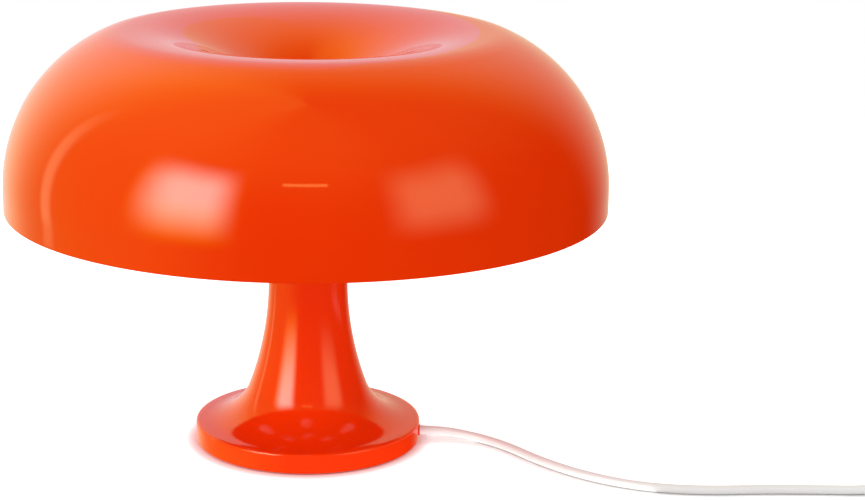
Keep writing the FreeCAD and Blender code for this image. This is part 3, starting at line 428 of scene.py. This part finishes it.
def stem_skin(wall):
    """The skin from the foot's edge up to the straight tube, or the inner skin at a wall's distance:
    a slope of 6 degrees, the flare's arc, then the stem's long arc."""
    flat = math.radians(90) - FOOT_SLOPE
    join = STEM_RADIUS + STEM_CURVE * (1 - math.cos(STEM_TURN))
    flare_end = join + FLARE * (math.cos(STEM_TURN) - math.cos(flat))
    flare_end_z = FOOT_TOP + (FOOT_RADIUS - flare_end) * math.tan(FOOT_SLOPE)
    join_z = flare_end_z + FLARE * (math.sin(flat) - math.sin(STEM_TURN))
    straight_z = join_z + STEM_CURVE * math.sin(STEM_TURN)
    flare_centre = (join + FLARE * math.cos(STEM_TURN), join_z + FLARE * math.sin(STEM_TURN))
    flare = arc(flare_centre, FLARE + wall, math.pi + flat, math.pi + STEM_TURN, 40)
    curve_centre = (STEM_RADIUS + STEM_CURVE, straight_z)
    curve = arc(curve_centre, STEM_CURVE + wall, math.pi + STEM_TURN, math.pi, 40)
    return np.vstack([flare, curve[1:]])


outer = stem_skin(0)
inner = stem_skin(WALL)
inner_edge = FOOT_RADIUS - WALL
inner_edge_z = inner[0, 1] - (inner_edge - inner[0, 0]) * math.tan(FOOT_SLOPE)
foot_edge = eased(
    [
        (REBATE_RADIUS, COVER_TOP),
        (REBATE_RADIUS, FOOT_BOTTOM),
        (FOOT_RADIUS, FOOT_BOTTOM),
        (FOOT_RADIUS, FOOT_TOP),
        tuple(outer[0]),
    ],
    [0, 0.0004, 0.0008, 0.0016, 0],
    closed=False,
    steps=7,
)
stem_mouth = eased(
    [tuple(outer[-1]), (STEM_RADIUS, STEM_TOP), (STEM_RADIUS - WALL, STEM_TOP), tuple(inner[-1])],
    [0, 0.0006, 0.0006, 0],
    closed=False,
)
stem_profile = np.vstack(
    [
        foot_edge,
        outer[1:-1],
        stem_mouth,
        inner[::-1][1:],
        [(inner_edge, inner_edge_z), (inner_edge, COVER_TOP)],
    ]
)
# The shade is polished a little more than the stem.
ORANGE = (0.92, 0.038, 0.001)
glossy_orange = moulded_plastic("glossy_orange", ORANGE, 0.045, 0.02, 0.012, 0.000004, 0.25)
satin_orange = moulded_plastic("satin_orange", ORANGE, 0.10, 0.02, 0.012, 0.000004, 0.25)
finished(turned("stem_and_foot", stem_profile, 224), "lamp", "shell_plastic", satin_orange, "stem_foot")

# ---------------------------------------------------------------- underside
# A pressed steel cover closes the foot, held by three screws, with a rubber ring round its edge on which
# the lamp stands. The cord's bush sits in a hole through the foot's edge.

COVER_RADIUS = 0.05925
COVER_BOTTOM = 0.0015
RING_OUTER = 0.05825
RING_WIDTH = 0.005


def metal(name, tint, rough, grain=1800.0, patches=0.12, height=0.000004):
    """A bare or plated metal: fine grain in its height, duller patches, and a thin film of handling and
    dust that scatters some of the light."""
    tree, shader, material = named_material(name)
    where = made(tree, "ShaderNodeTexCoord").outputs["Object"]
    fine = noise(tree, where, grain, 4.0, 0.7)
    clouds = noise(tree, where, 90.0, 5.0, 0.6)
    darker = colour(*(0.62 * part for part in tint))
    tone = mixed(tree, spread(tree, clouds, 0.45, 0.8, 0.0, 0.5), colour(*tint), darker)
    tree.links.new(tone, shader.inputs["Base Color"])
    tree.links.new(spread(tree, clouds, 0.3, 0.75, rough, rough + patches), shader.inputs["Roughness"])
    bump = made(tree, "ShaderNodeBump", {"Height": fine, "Distance": height, "Strength": 1.0})
    tree.links.new(bump.outputs[0], shader.inputs["Normal"])
    shader.inputs["Metallic"].default_value = 0.75
    return material


black_rubber = moulded_plastic("black_rubber", (0.022, 0.022, 0.023), 0.62, 0.15, 0.2, 0.00006, 0.3)
plated_steel = metal("plated_steel", (0.62, 0.62, 0.60), 0.28)
zinc = metal("zinc_plated_screws", (0.66, 0.65, 0.60), 0.24)

cover_profile = eased(
    [
        (0, COVER_BOTTOM + 0.0004),
        (0.020, COVER_BOTTOM + 0.0004),
        (0.0212, COVER_BOTTOM),
        (0.0420, COVER_BOTTOM),
        (0.0428, COVER_BOTTOM + 0.0003),
        (0.0436, COVER_BOTTOM),
        (COVER_RADIUS, COVER_BOTTOM),
        (COVER_RADIUS, COVER_TOP),
        (0, COVER_TOP),
    ],
    [0, 0.0006, 0.0006, 0.0004, 0.0004, 0.0004, 0.0003, 0.0002, 0],
    closed=False,
    steps=4,
)
finished(turned("pressed_cover", cover_profile), "lamp", "zinc_plate", plated_steel, "base_cover")
ring_profile = eased(
    [
        (RING_OUTER - RING_WIDTH, COVER_BOTTOM),
        (RING_OUTER - RING_WIDTH, 0),
        (RING_OUTER, 0),
        (RING_OUTER, COVER_BOTTOM),
    ],
    [0.0001, 0.0006, 0.0006, 0.0001],
)
finished(turned("rubber_ring", ring_profile), "lamp", "rubber_black", black_rubber, "foot_ring")


def refinished(material, *names):
    """New material on solids whose shape is already right."""
    for name in names:
        for place in bpy.data.objects[name].material_slots:
            place.material = material


soft_white = moulded_plastic("soft_white_plastic", (0.78, 0.78, 0.76), 0.3, 0.02, 0.05, 0.00001, 0.2)
cast_iron = metal("cast_iron", (0.09, 0.088, 0.085), 0.55, 700.0, 0.2, 0.00006)
refinished(zinc, "cover_screws", "clamp_screws", "carrier_screws")
refinished(cast_iron, "ballast")
refinished(white_sheath, "cord_inside")
refinished(glossy_orange, "cord_bush")
refinished(soft_white, "cord_clamp", "terminal_block")
refinished(metal("brass_screws", (0.70, 0.46, 0.16), 0.25), "terminal_screws")
refinished(moulded_plastic("core_sheaths", (0.05, 0.12, 0.42), 0.4, 0.05, 0.05), "supply_cores")

# ---------------------------------------------------------------- carrier
# A white nylon moulding plugged into the stem's top, with a post for the shade's spigot and an arm and
# tab for each lampholder. A thin rubber washer on the post takes the shade's weight.

nylon = moulded_plastic("white_nylon", (0.80, 0.79, 0.75), 0.42, 0.03, 0.08, 0.00002, 0.3)
refinished(nylon, "lampholder_carrier")
refinished(black_rubber, "shade_washer")
refinished(moulded_plastic("silicone_leads", (0.83, 0.82, 0.80), 0.5, 0.02, 0.1), "holder_leads")

# ---------------------------------------------------------------- lampholders
# Four small Edison-screw lampholders in black thermoplastic lie level on the tabs. Each has grip ribs
# round its skirt, a brass screw shell and centre contact inside, and a steel nut behind the tab.

AXIS_HEIGHT = 0.165
NUT_BACK = 0.027
TAB_FACE = 0.033
HOLDER_FLOOR = 0.041
HOLDER_FRONT = 0.0665
HOLDER_RADIUS = 0.013
HOLDER_BORE = 0.0083
NIPPLE_RADIUS = 0.005
NIPPLE_BORE = 0.0034


def laid_out(piece, number):
    """Lays a piece that was turned about Z along +X, (x, y, z) -> (z, y, -x), turns it to its own side of
    the stem and lifts it to the bulbs' height."""
    lying = Matrix.Rotation(math.radians(90), 4, "Y")
    side = Matrix.Rotation(math.radians(90 * number), 4, "Z")
    piece.data.transform(Matrix.Translation((0, 0, AXIS_HEIGHT)) @ side @ lying)
    return piece


def grip_ribs(angle, height, radius):
    """Ribs 0.5 mm deep and 24 round the skirt: -d * (1 - |sin 12 t|^0.6), faded out at both ends."""
    outside = radius > HOLDER_RADIUS - 0.0001
    fade = np.clip((height - 0.040) / 0.002, 0, 1) * np.clip((0.060 - height) / 0.002, 0, 1)
    return np.where(outside, -0.0005 * fade * (1 - np.abs(np.sin(12 * angle)) ** 0.6), 0)


holder_profile = eased(
    [
        (NIPPLE_BORE, HOLDER_FLOOR),
        (NIPPLE_BORE, NUT_BACK - 0.0006),
        (NIPPLE_RADIUS, NUT_BACK - 0.0006),
        (NIPPLE_RADIUS, TAB_FACE),
        (HOLDER_RADIUS, TAB_FACE),
        (HOLDER_RADIUS, 0.0395),
        (HOLDER_RADIUS, 0.0605),
        (HOLDER_RADIUS, HOLDER_FRONT),
        (HOLDER_BORE, HOLDER_FRONT),
        (HOLDER_BORE, HOLDER_FLOOR),
    ],
    [0.0002, 0.0003, 0.0003, 0.0002, 0.0012, 0, 0, 0.0014, 0.0006, 0.0002],
)
skirt = np.linspace(0.0400, 0.0600, 24)
at = np.flatnonzero(holder_profile[:, 1] == 0.0395)[0] + 1
holder_profile = np.vstack(
    [holder_profile[:at], np.column_stack([np.full(24, HOLDER_RADIUS), skirt]), holder_profile[at:]]
)
black_holder = moulded_plastic("black_holder", (0.018, 0.018, 0.019), 0.28, 0.1, 0.1, 0.00001, 0.5)
for number in range(4):
    holder = turned(f"ribbed_holder_{number + 1}", holder_profile, 240, grip_ribs)
    finished(laid_out(holder, number), "lamp", "holder_black", black_holder, f"lampholder_{number + 1}")
brass = metal("spun_brass", (0.80, 0.55, 0.20), 0.2)
refinished(brass, "screw_shells", "centre_contacts")
refinished(zinc, "holder_nuts")

# ---------------------------------------------------------------- bulbs
# Four small opal globe bulbs: blown glass, white inside, cemented into a nickel-plated screw cap with
# a rolled thread, a black glass insulator and a solder tip.

CAP_BACK = 0.047
CAP_FRONT = 0.067
CAP_RADIUS = 0.007
CAP_WALL = 0.0004
THREAD_PITCH = 0.00282
GLASS_NECK = 0.008
GLOBE_RADIUS = 0.0225
GLOBE_CENTRE = 0.1


def rolled_thread(angle, height, radius):
    """A rounded thread: d/2 * (cos(2 pi z / pitch - t) - 1), on the outer skin, faded out at both ends."""
    fade = np.clip((height - 0.0478) / 0.001, 0, 1) * np.clip((0.0622 - height) / 0.001, 0, 1)
    wave = np.cos(2 * np.pi * height / THREAD_PITCH - angle) - 1
    return np.where(radius > CAP_RADIUS - 0.00005, 0.0003 * wave * fade, 0)


cap_length = np.linspace(CAP_BACK + 0.0006, CAP_FRONT - 0.0002, 100)
cap_profile = np.vstack(
    [
        [(CAP_RADIUS - CAP_WALL, CAP_FRONT), (CAP_RADIUS - CAP_WALL, CAP_BACK)],
        [(CAP_RADIUS - 0.0002, CAP_BACK), (CAP_RADIUS - 0.00006, CAP_BACK + 0.0002)],
        np.column_stack([np.full(100, CAP_RADIUS), cap_length]),
        [(CAP_RADIUS, CAP_FRONT)],
    ]
)
neck_angle = math.acos((GLOBE_RADIUS - GLASS_NECK) / (GLOBE_CENTRE - CAP_FRONT))
globe = arc((GLOBE_CENTRE, 0), GLOBE_RADIUS, math.pi - neck_angle, 0, 64)
neck = np.array([(CAP_FRONT, 0), (CAP_FRONT, 0.0066), (CAP_FRONT, 0.0074), (CAP_FRONT + 0.0006, 0.0080)])
run = np.linspace(0, 1, 14)[1:, None]
bulb_outline = np.vstack([neck, neck[-1] + run * (globe[0] - neck[-1]), globe[1:]])
bulb_profile = bulb_outline[:, ::-1].copy()
bulb_profile[[0, -1], 0] = 0


def opal_glass():
    """Glass flashed white on its inside: a milky body under a clear, hard gloss."""
    tree, shader, material = named_material("opal_glass")
    where = made(tree, "ShaderNodeTexCoord").outputs["Object"]
    milk = spread(tree, noise(tree, where, 60.0, 3.0), 0.3, 0.7)
    tone = mixed(tree, milk, colour(0.86, 0.85, 0.82), colour(0.90, 0.895, 0.875))
    tree.links.new(tone, shader.inputs["Base Color"])
    smears = spread(tree, noise(tree, where, 130.0, 4.0), 0.4, 0.8, 0.16, 0.28)
    tree.links.new(smears, shader.inputs["Roughness"])
    shader.inputs["Coat Weight"].default_value = 1.0
    shader.inputs["Coat Roughness"].default_value = 0.03
    return material


opal = opal_glass()
nickel = metal("nickel_plate", (0.72, 0.70, 0.64), 0.16)
solder = metal("solder", (0.55, 0.55, 0.56), 0.35)
black_glass = moulded_plastic("black_glass", (0.01, 0.01, 0.012), 0.08, 0.1, 0.05, 0.000005, 0.0)
inner_glass = moulded_plastic("inner_glass", (0.75, 0.78, 0.76), 0.1, 0.02, 0.02, 0.000005, 0.0)
for number in range(4):
    body = f"bulb_{number + 1}"
    glass = laid_out(turned(f"opal_globe_{number + 1}", bulb_profile, 96), number)
    finished(glass, body, "opal_glass", opal, f"bulb_glass_{number + 1}")
    cap = laid_out(turned(f"threaded_cap_{number + 1}", cap_profile, 96, rolled_thread), number)
    finished(cap, body, "nickel_pin", nickel, f"bulb_cap_{number + 1}")
    refinished(black_glass, f"bulb_insulator_{number + 1}")
    refinished(solder, f"bulb_tip_{number + 1}")
    refinished(inner_glass, f"bulb_mount_{number + 1}")

# ---------------------------------------------------------------- shade
# One injection moulding in the same glossy plastic, 3 mm thick: an upright band at the rim, a wide
# shoulder, a rolled crest and a well in its middle, whose floor has a spigot below it.

LAMP_HEIGHT = 0.225
SHADE_RADIUS = 0.160
BAND = 0.01152
SHOULDER = 0.086
SHOULDER_TURN = math.radians(65.8)
CREST = 0.030
WELL_RADIUS = 0.0195
BELL = 0.030
BELL_TURN = math.radians(55)
FLOOR_TOP = 0.154
SPIGOT_RADIUS = 0.010
SPIGOT_END = 0.138
RIM_EDGE = 0.0007
SHADE_SEGMENTS = 240


def shade_skin(wall):
    """The skin from the rim band's top to the well's straight wall, or the inner skin at a wall's
    distance: shoulder, crest, bowl and bell, each an arc tangent to the next."""
    shoulder_centre = SHADE_RADIUS - SHOULDER
    crest_centre = shoulder_centre + (SHOULDER - CREST) * math.cos(SHOULDER_TURN)
    shoulder_z = LAMP_HEIGHT - CREST - (SHOULDER - CREST) * math.sin(SHOULDER_TURN)
    bell_centre = WELL_RADIUS + BELL
    bowl = BELL + (crest_centre - bell_centre) / math.cos(BELL_TURN)
    bowl_z = LAMP_HEIGHT - bowl
    bell_z = bowl_z + (bowl - BELL) * math.sin(BELL_TURN)
    top = math.pi / 2
    return np.vstack(
        [
            arc((shoulder_centre, shoulder_z), SHOULDER - wall, 0, SHOULDER_TURN, 72),
            arc((crest_centre, LAMP_HEIGHT - CREST), CREST - wall, SHOULDER_TURN, top, 24)[1:],
            arc((crest_centre, bowl_z), bowl - wall, top, math.pi - BELL_TURN, 40)[1:],
            arc((bell_centre, bell_z), BELL - wall, math.pi - BELL_TURN, math.pi, 40)[1:],
        ]
    )


shade_outer = shade_skin(0)
shade_inner = shade_skin(WALL)
rim_z = shade_outer[0, 1] - BAND
well_floor = eased(
    [tuple(shade_outer[-1]), (WELL_RADIUS, FLOOR_TOP), (0, FLOOR_TOP)], [0, 0.0025, 0], closed=False, steps=9
)
band_height = np.linspace(rim_z + 0.002, shade_outer[0, 1], 7)[:-1]
rim = eased(
    [
        (SHADE_RADIUS - WALL, band_height[0]),
        (SHADE_RADIUS - WALL, rim_z),
        (SHADE_RADIUS, rim_z),
        (SHADE_RADIUS, band_height[0]),
    ],
    [0, RIM_EDGE, RIM_EDGE, 0],
    closed=False,
    steps=7,
)
spigot = eased(
    [
        (0, SPIGOT_END),
        (SPIGOT_RADIUS, SPIGOT_END),
        (SPIGOT_RADIUS, FLOOR_TOP - WALL),
        (WELL_RADIUS + WALL, FLOOR_TOP - WALL),
        tuple(shade_inner[-1]),
    ],
    [0, 0.0008, 0.0004, 0.002, 0],
    closed=False,
)
shade_profile = np.vstack(
    [
        spigot,
        shade_inner[::-1][1:],
        np.column_stack([np.full(6, SHADE_RADIUS - WALL), band_height[::-1]]),
        rim[1:],
        np.column_stack([np.full(5, SHADE_RADIUS), band_height[1:]]),
        shade_outer,
        well_floor[1:],
    ]
)
shade = turned("moulded_shade", shade_profile, SHADE_SEGMENTS)
inside_orange = moulded_plastic("inside_orange", (0.92, 0.042, 0.002), 0.16, 0.02, 0.03, 0.00001, 0.25)
finished(shade, "shade", "shell_plastic", glossy_orange, "shade")
shade.data.materials.append(inside_orange)
inside_rings = len(spigot) + len(shade_inner) - 1 + 6
rings = np.repeat(np.arange(len(shade_profile) - 3), SHADE_SEGMENTS)
sides = np.zeros(len(shade.data.polygons), np.int32)
sides[: len(rings)] = rings < inside_rings
sides[len(rings) : len(rings) + SHADE_SEGMENTS] = 1
shade.data.polygons.foreach_set("material_index", sides)

# ---------------------------------------------------------------- switch
# A white in-line switch: two moulded shells screwed together round the cord, with a rocker on a steel
# pin between two ears under the window.


def softened(node, name, width):
    """A copy of a solid's own mesh, with its triangles merged into faces and its edges rounded."""
    whole = bmesh.new()
    whole.from_mesh(bpy.data.objects[node].data)
    bmesh.ops.remove_doubles(whole, verts=whole.verts, dist=0.000001)
    almost_flat = math.radians(1)
    bmesh.ops.dissolve_limit(
        whole, angle_limit=almost_flat, verts=whole.verts, edges=whole.edges, delimit={"NORMAL"}
    )
    mesh = bpy.data.meshes.new(name)
    whole.to_mesh(mesh)
    whole.free()
    piece = shown(bpy.data.objects.new(name, mesh))
    rounding = piece.modifiers.new("rounded edges", "BEVEL")
    rounding.width = width
    rounding.segments = 3
    rounding.limit_method = "ANGLE"
    rounding.angle_limit = math.radians(30)
    rounding.use_clamp_overlap = True
    rounding.harden_normals = True
    mesh.polygons.foreach_set("use_smooth", np.ones(len(mesh.polygons), bool))
    return piece


switch_white = moulded_plastic("switch_white", (0.82, 0.82, 0.81), 0.22, 0.02, 0.05, 0.00001, 0.2)
for node, width in (("switch_upper_shell", 0.0006), ("switch_lower_shell", 0.0006), ("switch_rocker", 0.0005)):
    piece = softened(node, f"rounded_{node}", width)
    body = "rocker" if node == "switch_rocker" else "lamp"
    finished(piece, body, "switch_white", switch_white, node)
refinished(zinc, "switch_screws", "rocker_pin")
refinished(brass, "switch_contacts")

# ---------------------------------------------------------------- coil tie and plug
# A soft plastic strap holds the coil. The plug is the flat two-pin kind, moulded onto the cord in white
# PVC, with nickel-plated pins that are sleeved in black for half their length.

refinished(moulded_plastic("strap_white", (0.74, 0.74, 0.73), 0.45, 0.03, 0.1, 0.00004, 0.2), "coil_tie")
plug = softened("plug_body", "rounded_plug_body", 0.0005)
finished(plug, "lamp", "cord_white", white_sheath, "plug_body")
refinished(nickel, "plug_pins")
refinished(black_holder, "plug_sleeves")

# ---------------------------------------------------------------- table and light
# A white table top under the lamp, a soft key light from the left, a weaker one from the right, and a
# white backdrop behind. The gloss sees two soft windows in an otherwise dark front, so the colour stays
# deep there.

TABLE_FRONT, TABLE_BACK = -0.45, 0.9
TABLE_LEFT, TABLE_RIGHT = -0.8, 0.9


def number_of(tree, operation, first, second=0.0, third=0.0):
    values = {0: first, 1: second}
    if operation == "MULTIPLY_ADD":
        values[2] = third
    return made(tree, "ShaderNodeMath", values, operation=operation).outputs[0]


def table_top():
    corners = [
        (TABLE_LEFT, TABLE_FRONT, 0),
        (TABLE_RIGHT, TABLE_FRONT, 0),
        (TABLE_RIGHT, TABLE_BACK, 0),
        (TABLE_LEFT, TABLE_BACK, 0),
    ]
    piece = mesh_piece("table_top", corners, [[0, 1, 2, 3]])
    tree, shader, material = named_material("white_table")
    path = made(tree, "ShaderNodeLightPath").outputs
    shader.inputs["Base Color"].default_value = colour(0.84, 0.84, 0.84)
    shader.inputs["Roughness"].default_value = 0.9
    shader.inputs["Specular IOR Level"].default_value = 0.0
    shader.inputs["Emission Color"].default_value = colour(1, 1, 1)
    # Ambient occlusion dims the glow that the camera sees within 8 mm of the foot: a painted contact shadow
    # round the foot and a painted dark gap under its edge.
    painted_contact_shadow = made(tree, "ShaderNodeAmbientOcclusion", {"Distance": 0.008}, samples=8).outputs["AO"]
    painted_contact_shadow = number_of(tree, "POWER", painted_contact_shadow, 3.0)
    glow = number_of(tree, "MULTIPLY", path["Is Camera Ray"], 0.95)
    tree.links.new(number_of(tree, "MULTIPLY", glow, painted_contact_shadow), shader.inputs["Emission Strength"])
    gone = made(tree, "ShaderNodeBsdfTransparent").outputs[0]
    seen = made(tree, "ShaderNodeMixShader", {0: path["Is Glossy Ray"], 1: shader.outputs[0], 2: gone})
    tree.links.new(seen.outputs[0], tree.nodes["Material Output"].inputs[0])
    piece.data.materials.append(material)
    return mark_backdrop(piece)


def ramp(tree, value, low, high):
    """0 below low, 1 above high, and t*t*(3-2*t) between them."""
    limits = {1: low, 2: high, 3: 0.0, 4: 1.0}
    return made(tree, "ShaderNodeMapRange", {0: value, **limits}, interpolation_type="SMOOTHSTEP").outputs[0]


def window(tree, across, up, sides, heights):
    """A soft-edged rectangle of light in the surroundings. sides and heights each give where it starts,
    where it is full, where it starts to fade and where it ends, in degrees."""
    shares = []
    for value, edges in ((across, sides), (up, heights)):
        start, full, fading, end = (math.radians(edge) for edge in edges)
        shares += [ramp(tree, value, start, full), ramp(tree, value, end, fading)]
    product = shares[0]
    for share in shares[1:]:
        product = number_of(tree, "MULTIPLY", product, share)
    return product


def studio():
    """What the gloss sees in each direction, and plain white for the camera. across is the compass angle
    from the camera's side, positive to the right, and up is the height above the horizon. behind grows
    towards the far side, y + 0.4 z - 0.12 x, and each light is its tint times its own share."""
    world = bpy.data.worlds.new("studio")
    bpy.context.scene.world = world
    world.use_nodes = True
    tree = world.node_tree
    tree.nodes.clear()
    parts = made(
        tree, "ShaderNodeSeparateXYZ", {0: made(tree, "ShaderNodeTexCoord").outputs["Generated"]}
    ).outputs
    x, y, z = parts
    across = number_of(tree, "ARCTAN2", x, number_of(tree, "MULTIPLY", y, -1.0))
    up = number_of(tree, "ARCSINE", z)
    behind = number_of(tree, "MULTIPLY_ADD", z, 0.4, y)
    behind = number_of(tree, "MULTIPLY_ADD", x, -0.12, behind)
    backdrop = ramp(tree, behind, 0.40, 0.95)
    light = (0.0, 0.0, 0.0)
    for tint, share in (
        # The backdrop, whose blue reaches less far up and round than its red and green.
        ((0.95, 0.75, 0.0), backdrop),
        ((0.0, 0.0, 0.53), number_of(tree, "MULTIPLY", backdrop, ramp(tree, y, 0.15, 0.95))),
        ((0.0, 0.0, 0.25), window(tree, across, up, (-181, -180, -150, -95), (-60, -30, 30, 60))),
        # The ceiling.
        ((0.35, 0.35, 0.05), ramp(tree, z, 0.2, 0.95)),
        # The left window, then the right one.
        ((9.0, 9.0, 0.0), window(tree, across, up, (-70, -47, -36, -20), (-13, 17, 24, 42))),
        ((0.0, 0.0, 8.0), window(tree, across, up, (-68, -47, -36, -21), (-8, 20, 24, 42))),
        ((2.3, 2.3, 1.05), window(tree, across, up, (29, 46, 61, 80), (-8, 14, 22, 44))),
        # A narrow upright panel at the far left, a wide pale wall on the left, and the lamp of the streak.
        ((1.2, 1.2, 0.6), window(tree, across, up, (-113, -109, -107, -103), (-20, -10, 12, 48))),
        ((0.85, 0.68, 0.08), window(tree, across, up, (-179, -135, -70, -8), (-60, -30, 85, 100))),
        ((0.2, 0.2, 0.01), window(tree, across, up, (-80, -20, 10, 60), (-10, 60, 85, 100))),
        ((4.6, 3.1, 0.75), window(tree, across, up, (-7.2, -6.4, 10.9, 11.5), (31.5, 32.3, 33.3, 34.1))),
    ):
        light = made(
            tree, "ShaderNodeVectorMath", {0: tint, 1: share, 2: light}, operation="MULTIPLY_ADD"
        ).outputs[0]
    gloss = made(tree, "ShaderNodeBackground", {"Color": light, "Strength": 1.0}).outputs[0]
    fill = number_of(tree, "MULTIPLY_ADD", z, 0.16, 0.66)
    soft = made(tree, "ShaderNodeBackground", {"Color": colour(1, 1, 1), "Strength": fill}).outputs[0]
    white = made(tree, "ShaderNodeBackground", {"Color": colour(1, 1, 1), "Strength": 1.0}).outputs[0]
    path = made(tree, "ShaderNodeLightPath").outputs
    lit = made(tree, "ShaderNodeMixShader", {0: path["Is Glossy Ray"], 1: soft, 2: gloss}).outputs[0]
    clear = number_of(tree, "MAXIMUM", path["Is Camera Ray"], path["Is Transmission Ray"])
    final = made(tree, "ShaderNodeMixShader", {0: clear, 1: lit, 2: white}).outputs[0]
    tree.links.new(final, made(tree, "ShaderNodeOutputWorld").inputs[0])


def softbox(name, place, aim, size, power, shape="SQUARE"):
    """A flat lamp whose own face isn't seen in the gloss, because the surroundings already hold it."""
    data = bpy.data.lights.new(name, "AREA")
    data.shape = shape
    data.size = size
    data.energy = power
    lamp = shown(bpy.data.objects.new(name, data))
    way = Vector(aim) - Vector(place)
    lamp.matrix_world = Matrix.Translation(place) @ way.to_track_quat("-Z", "Y").to_matrix().to_4x4()
    lamp.visible_glossy = False
    lamp.visible_camera = False
    return lamp


table_top()
studio()
softbox("key_left", (-1.25, -1.2, 0.75), (0, 0, 0.12), 0.9, 8.0)
softbox("fill_right", (1.2, -1.3, 0.35), (0, 0, 0.10), 0.9, 2.6)
softbox("table_bounce", (0, 0, 0.0005), (0, 0, 1), 0.40, 0.33, "DISK")

scene = bpy.context.scene
scene.view_settings.view_transform = "Standard"
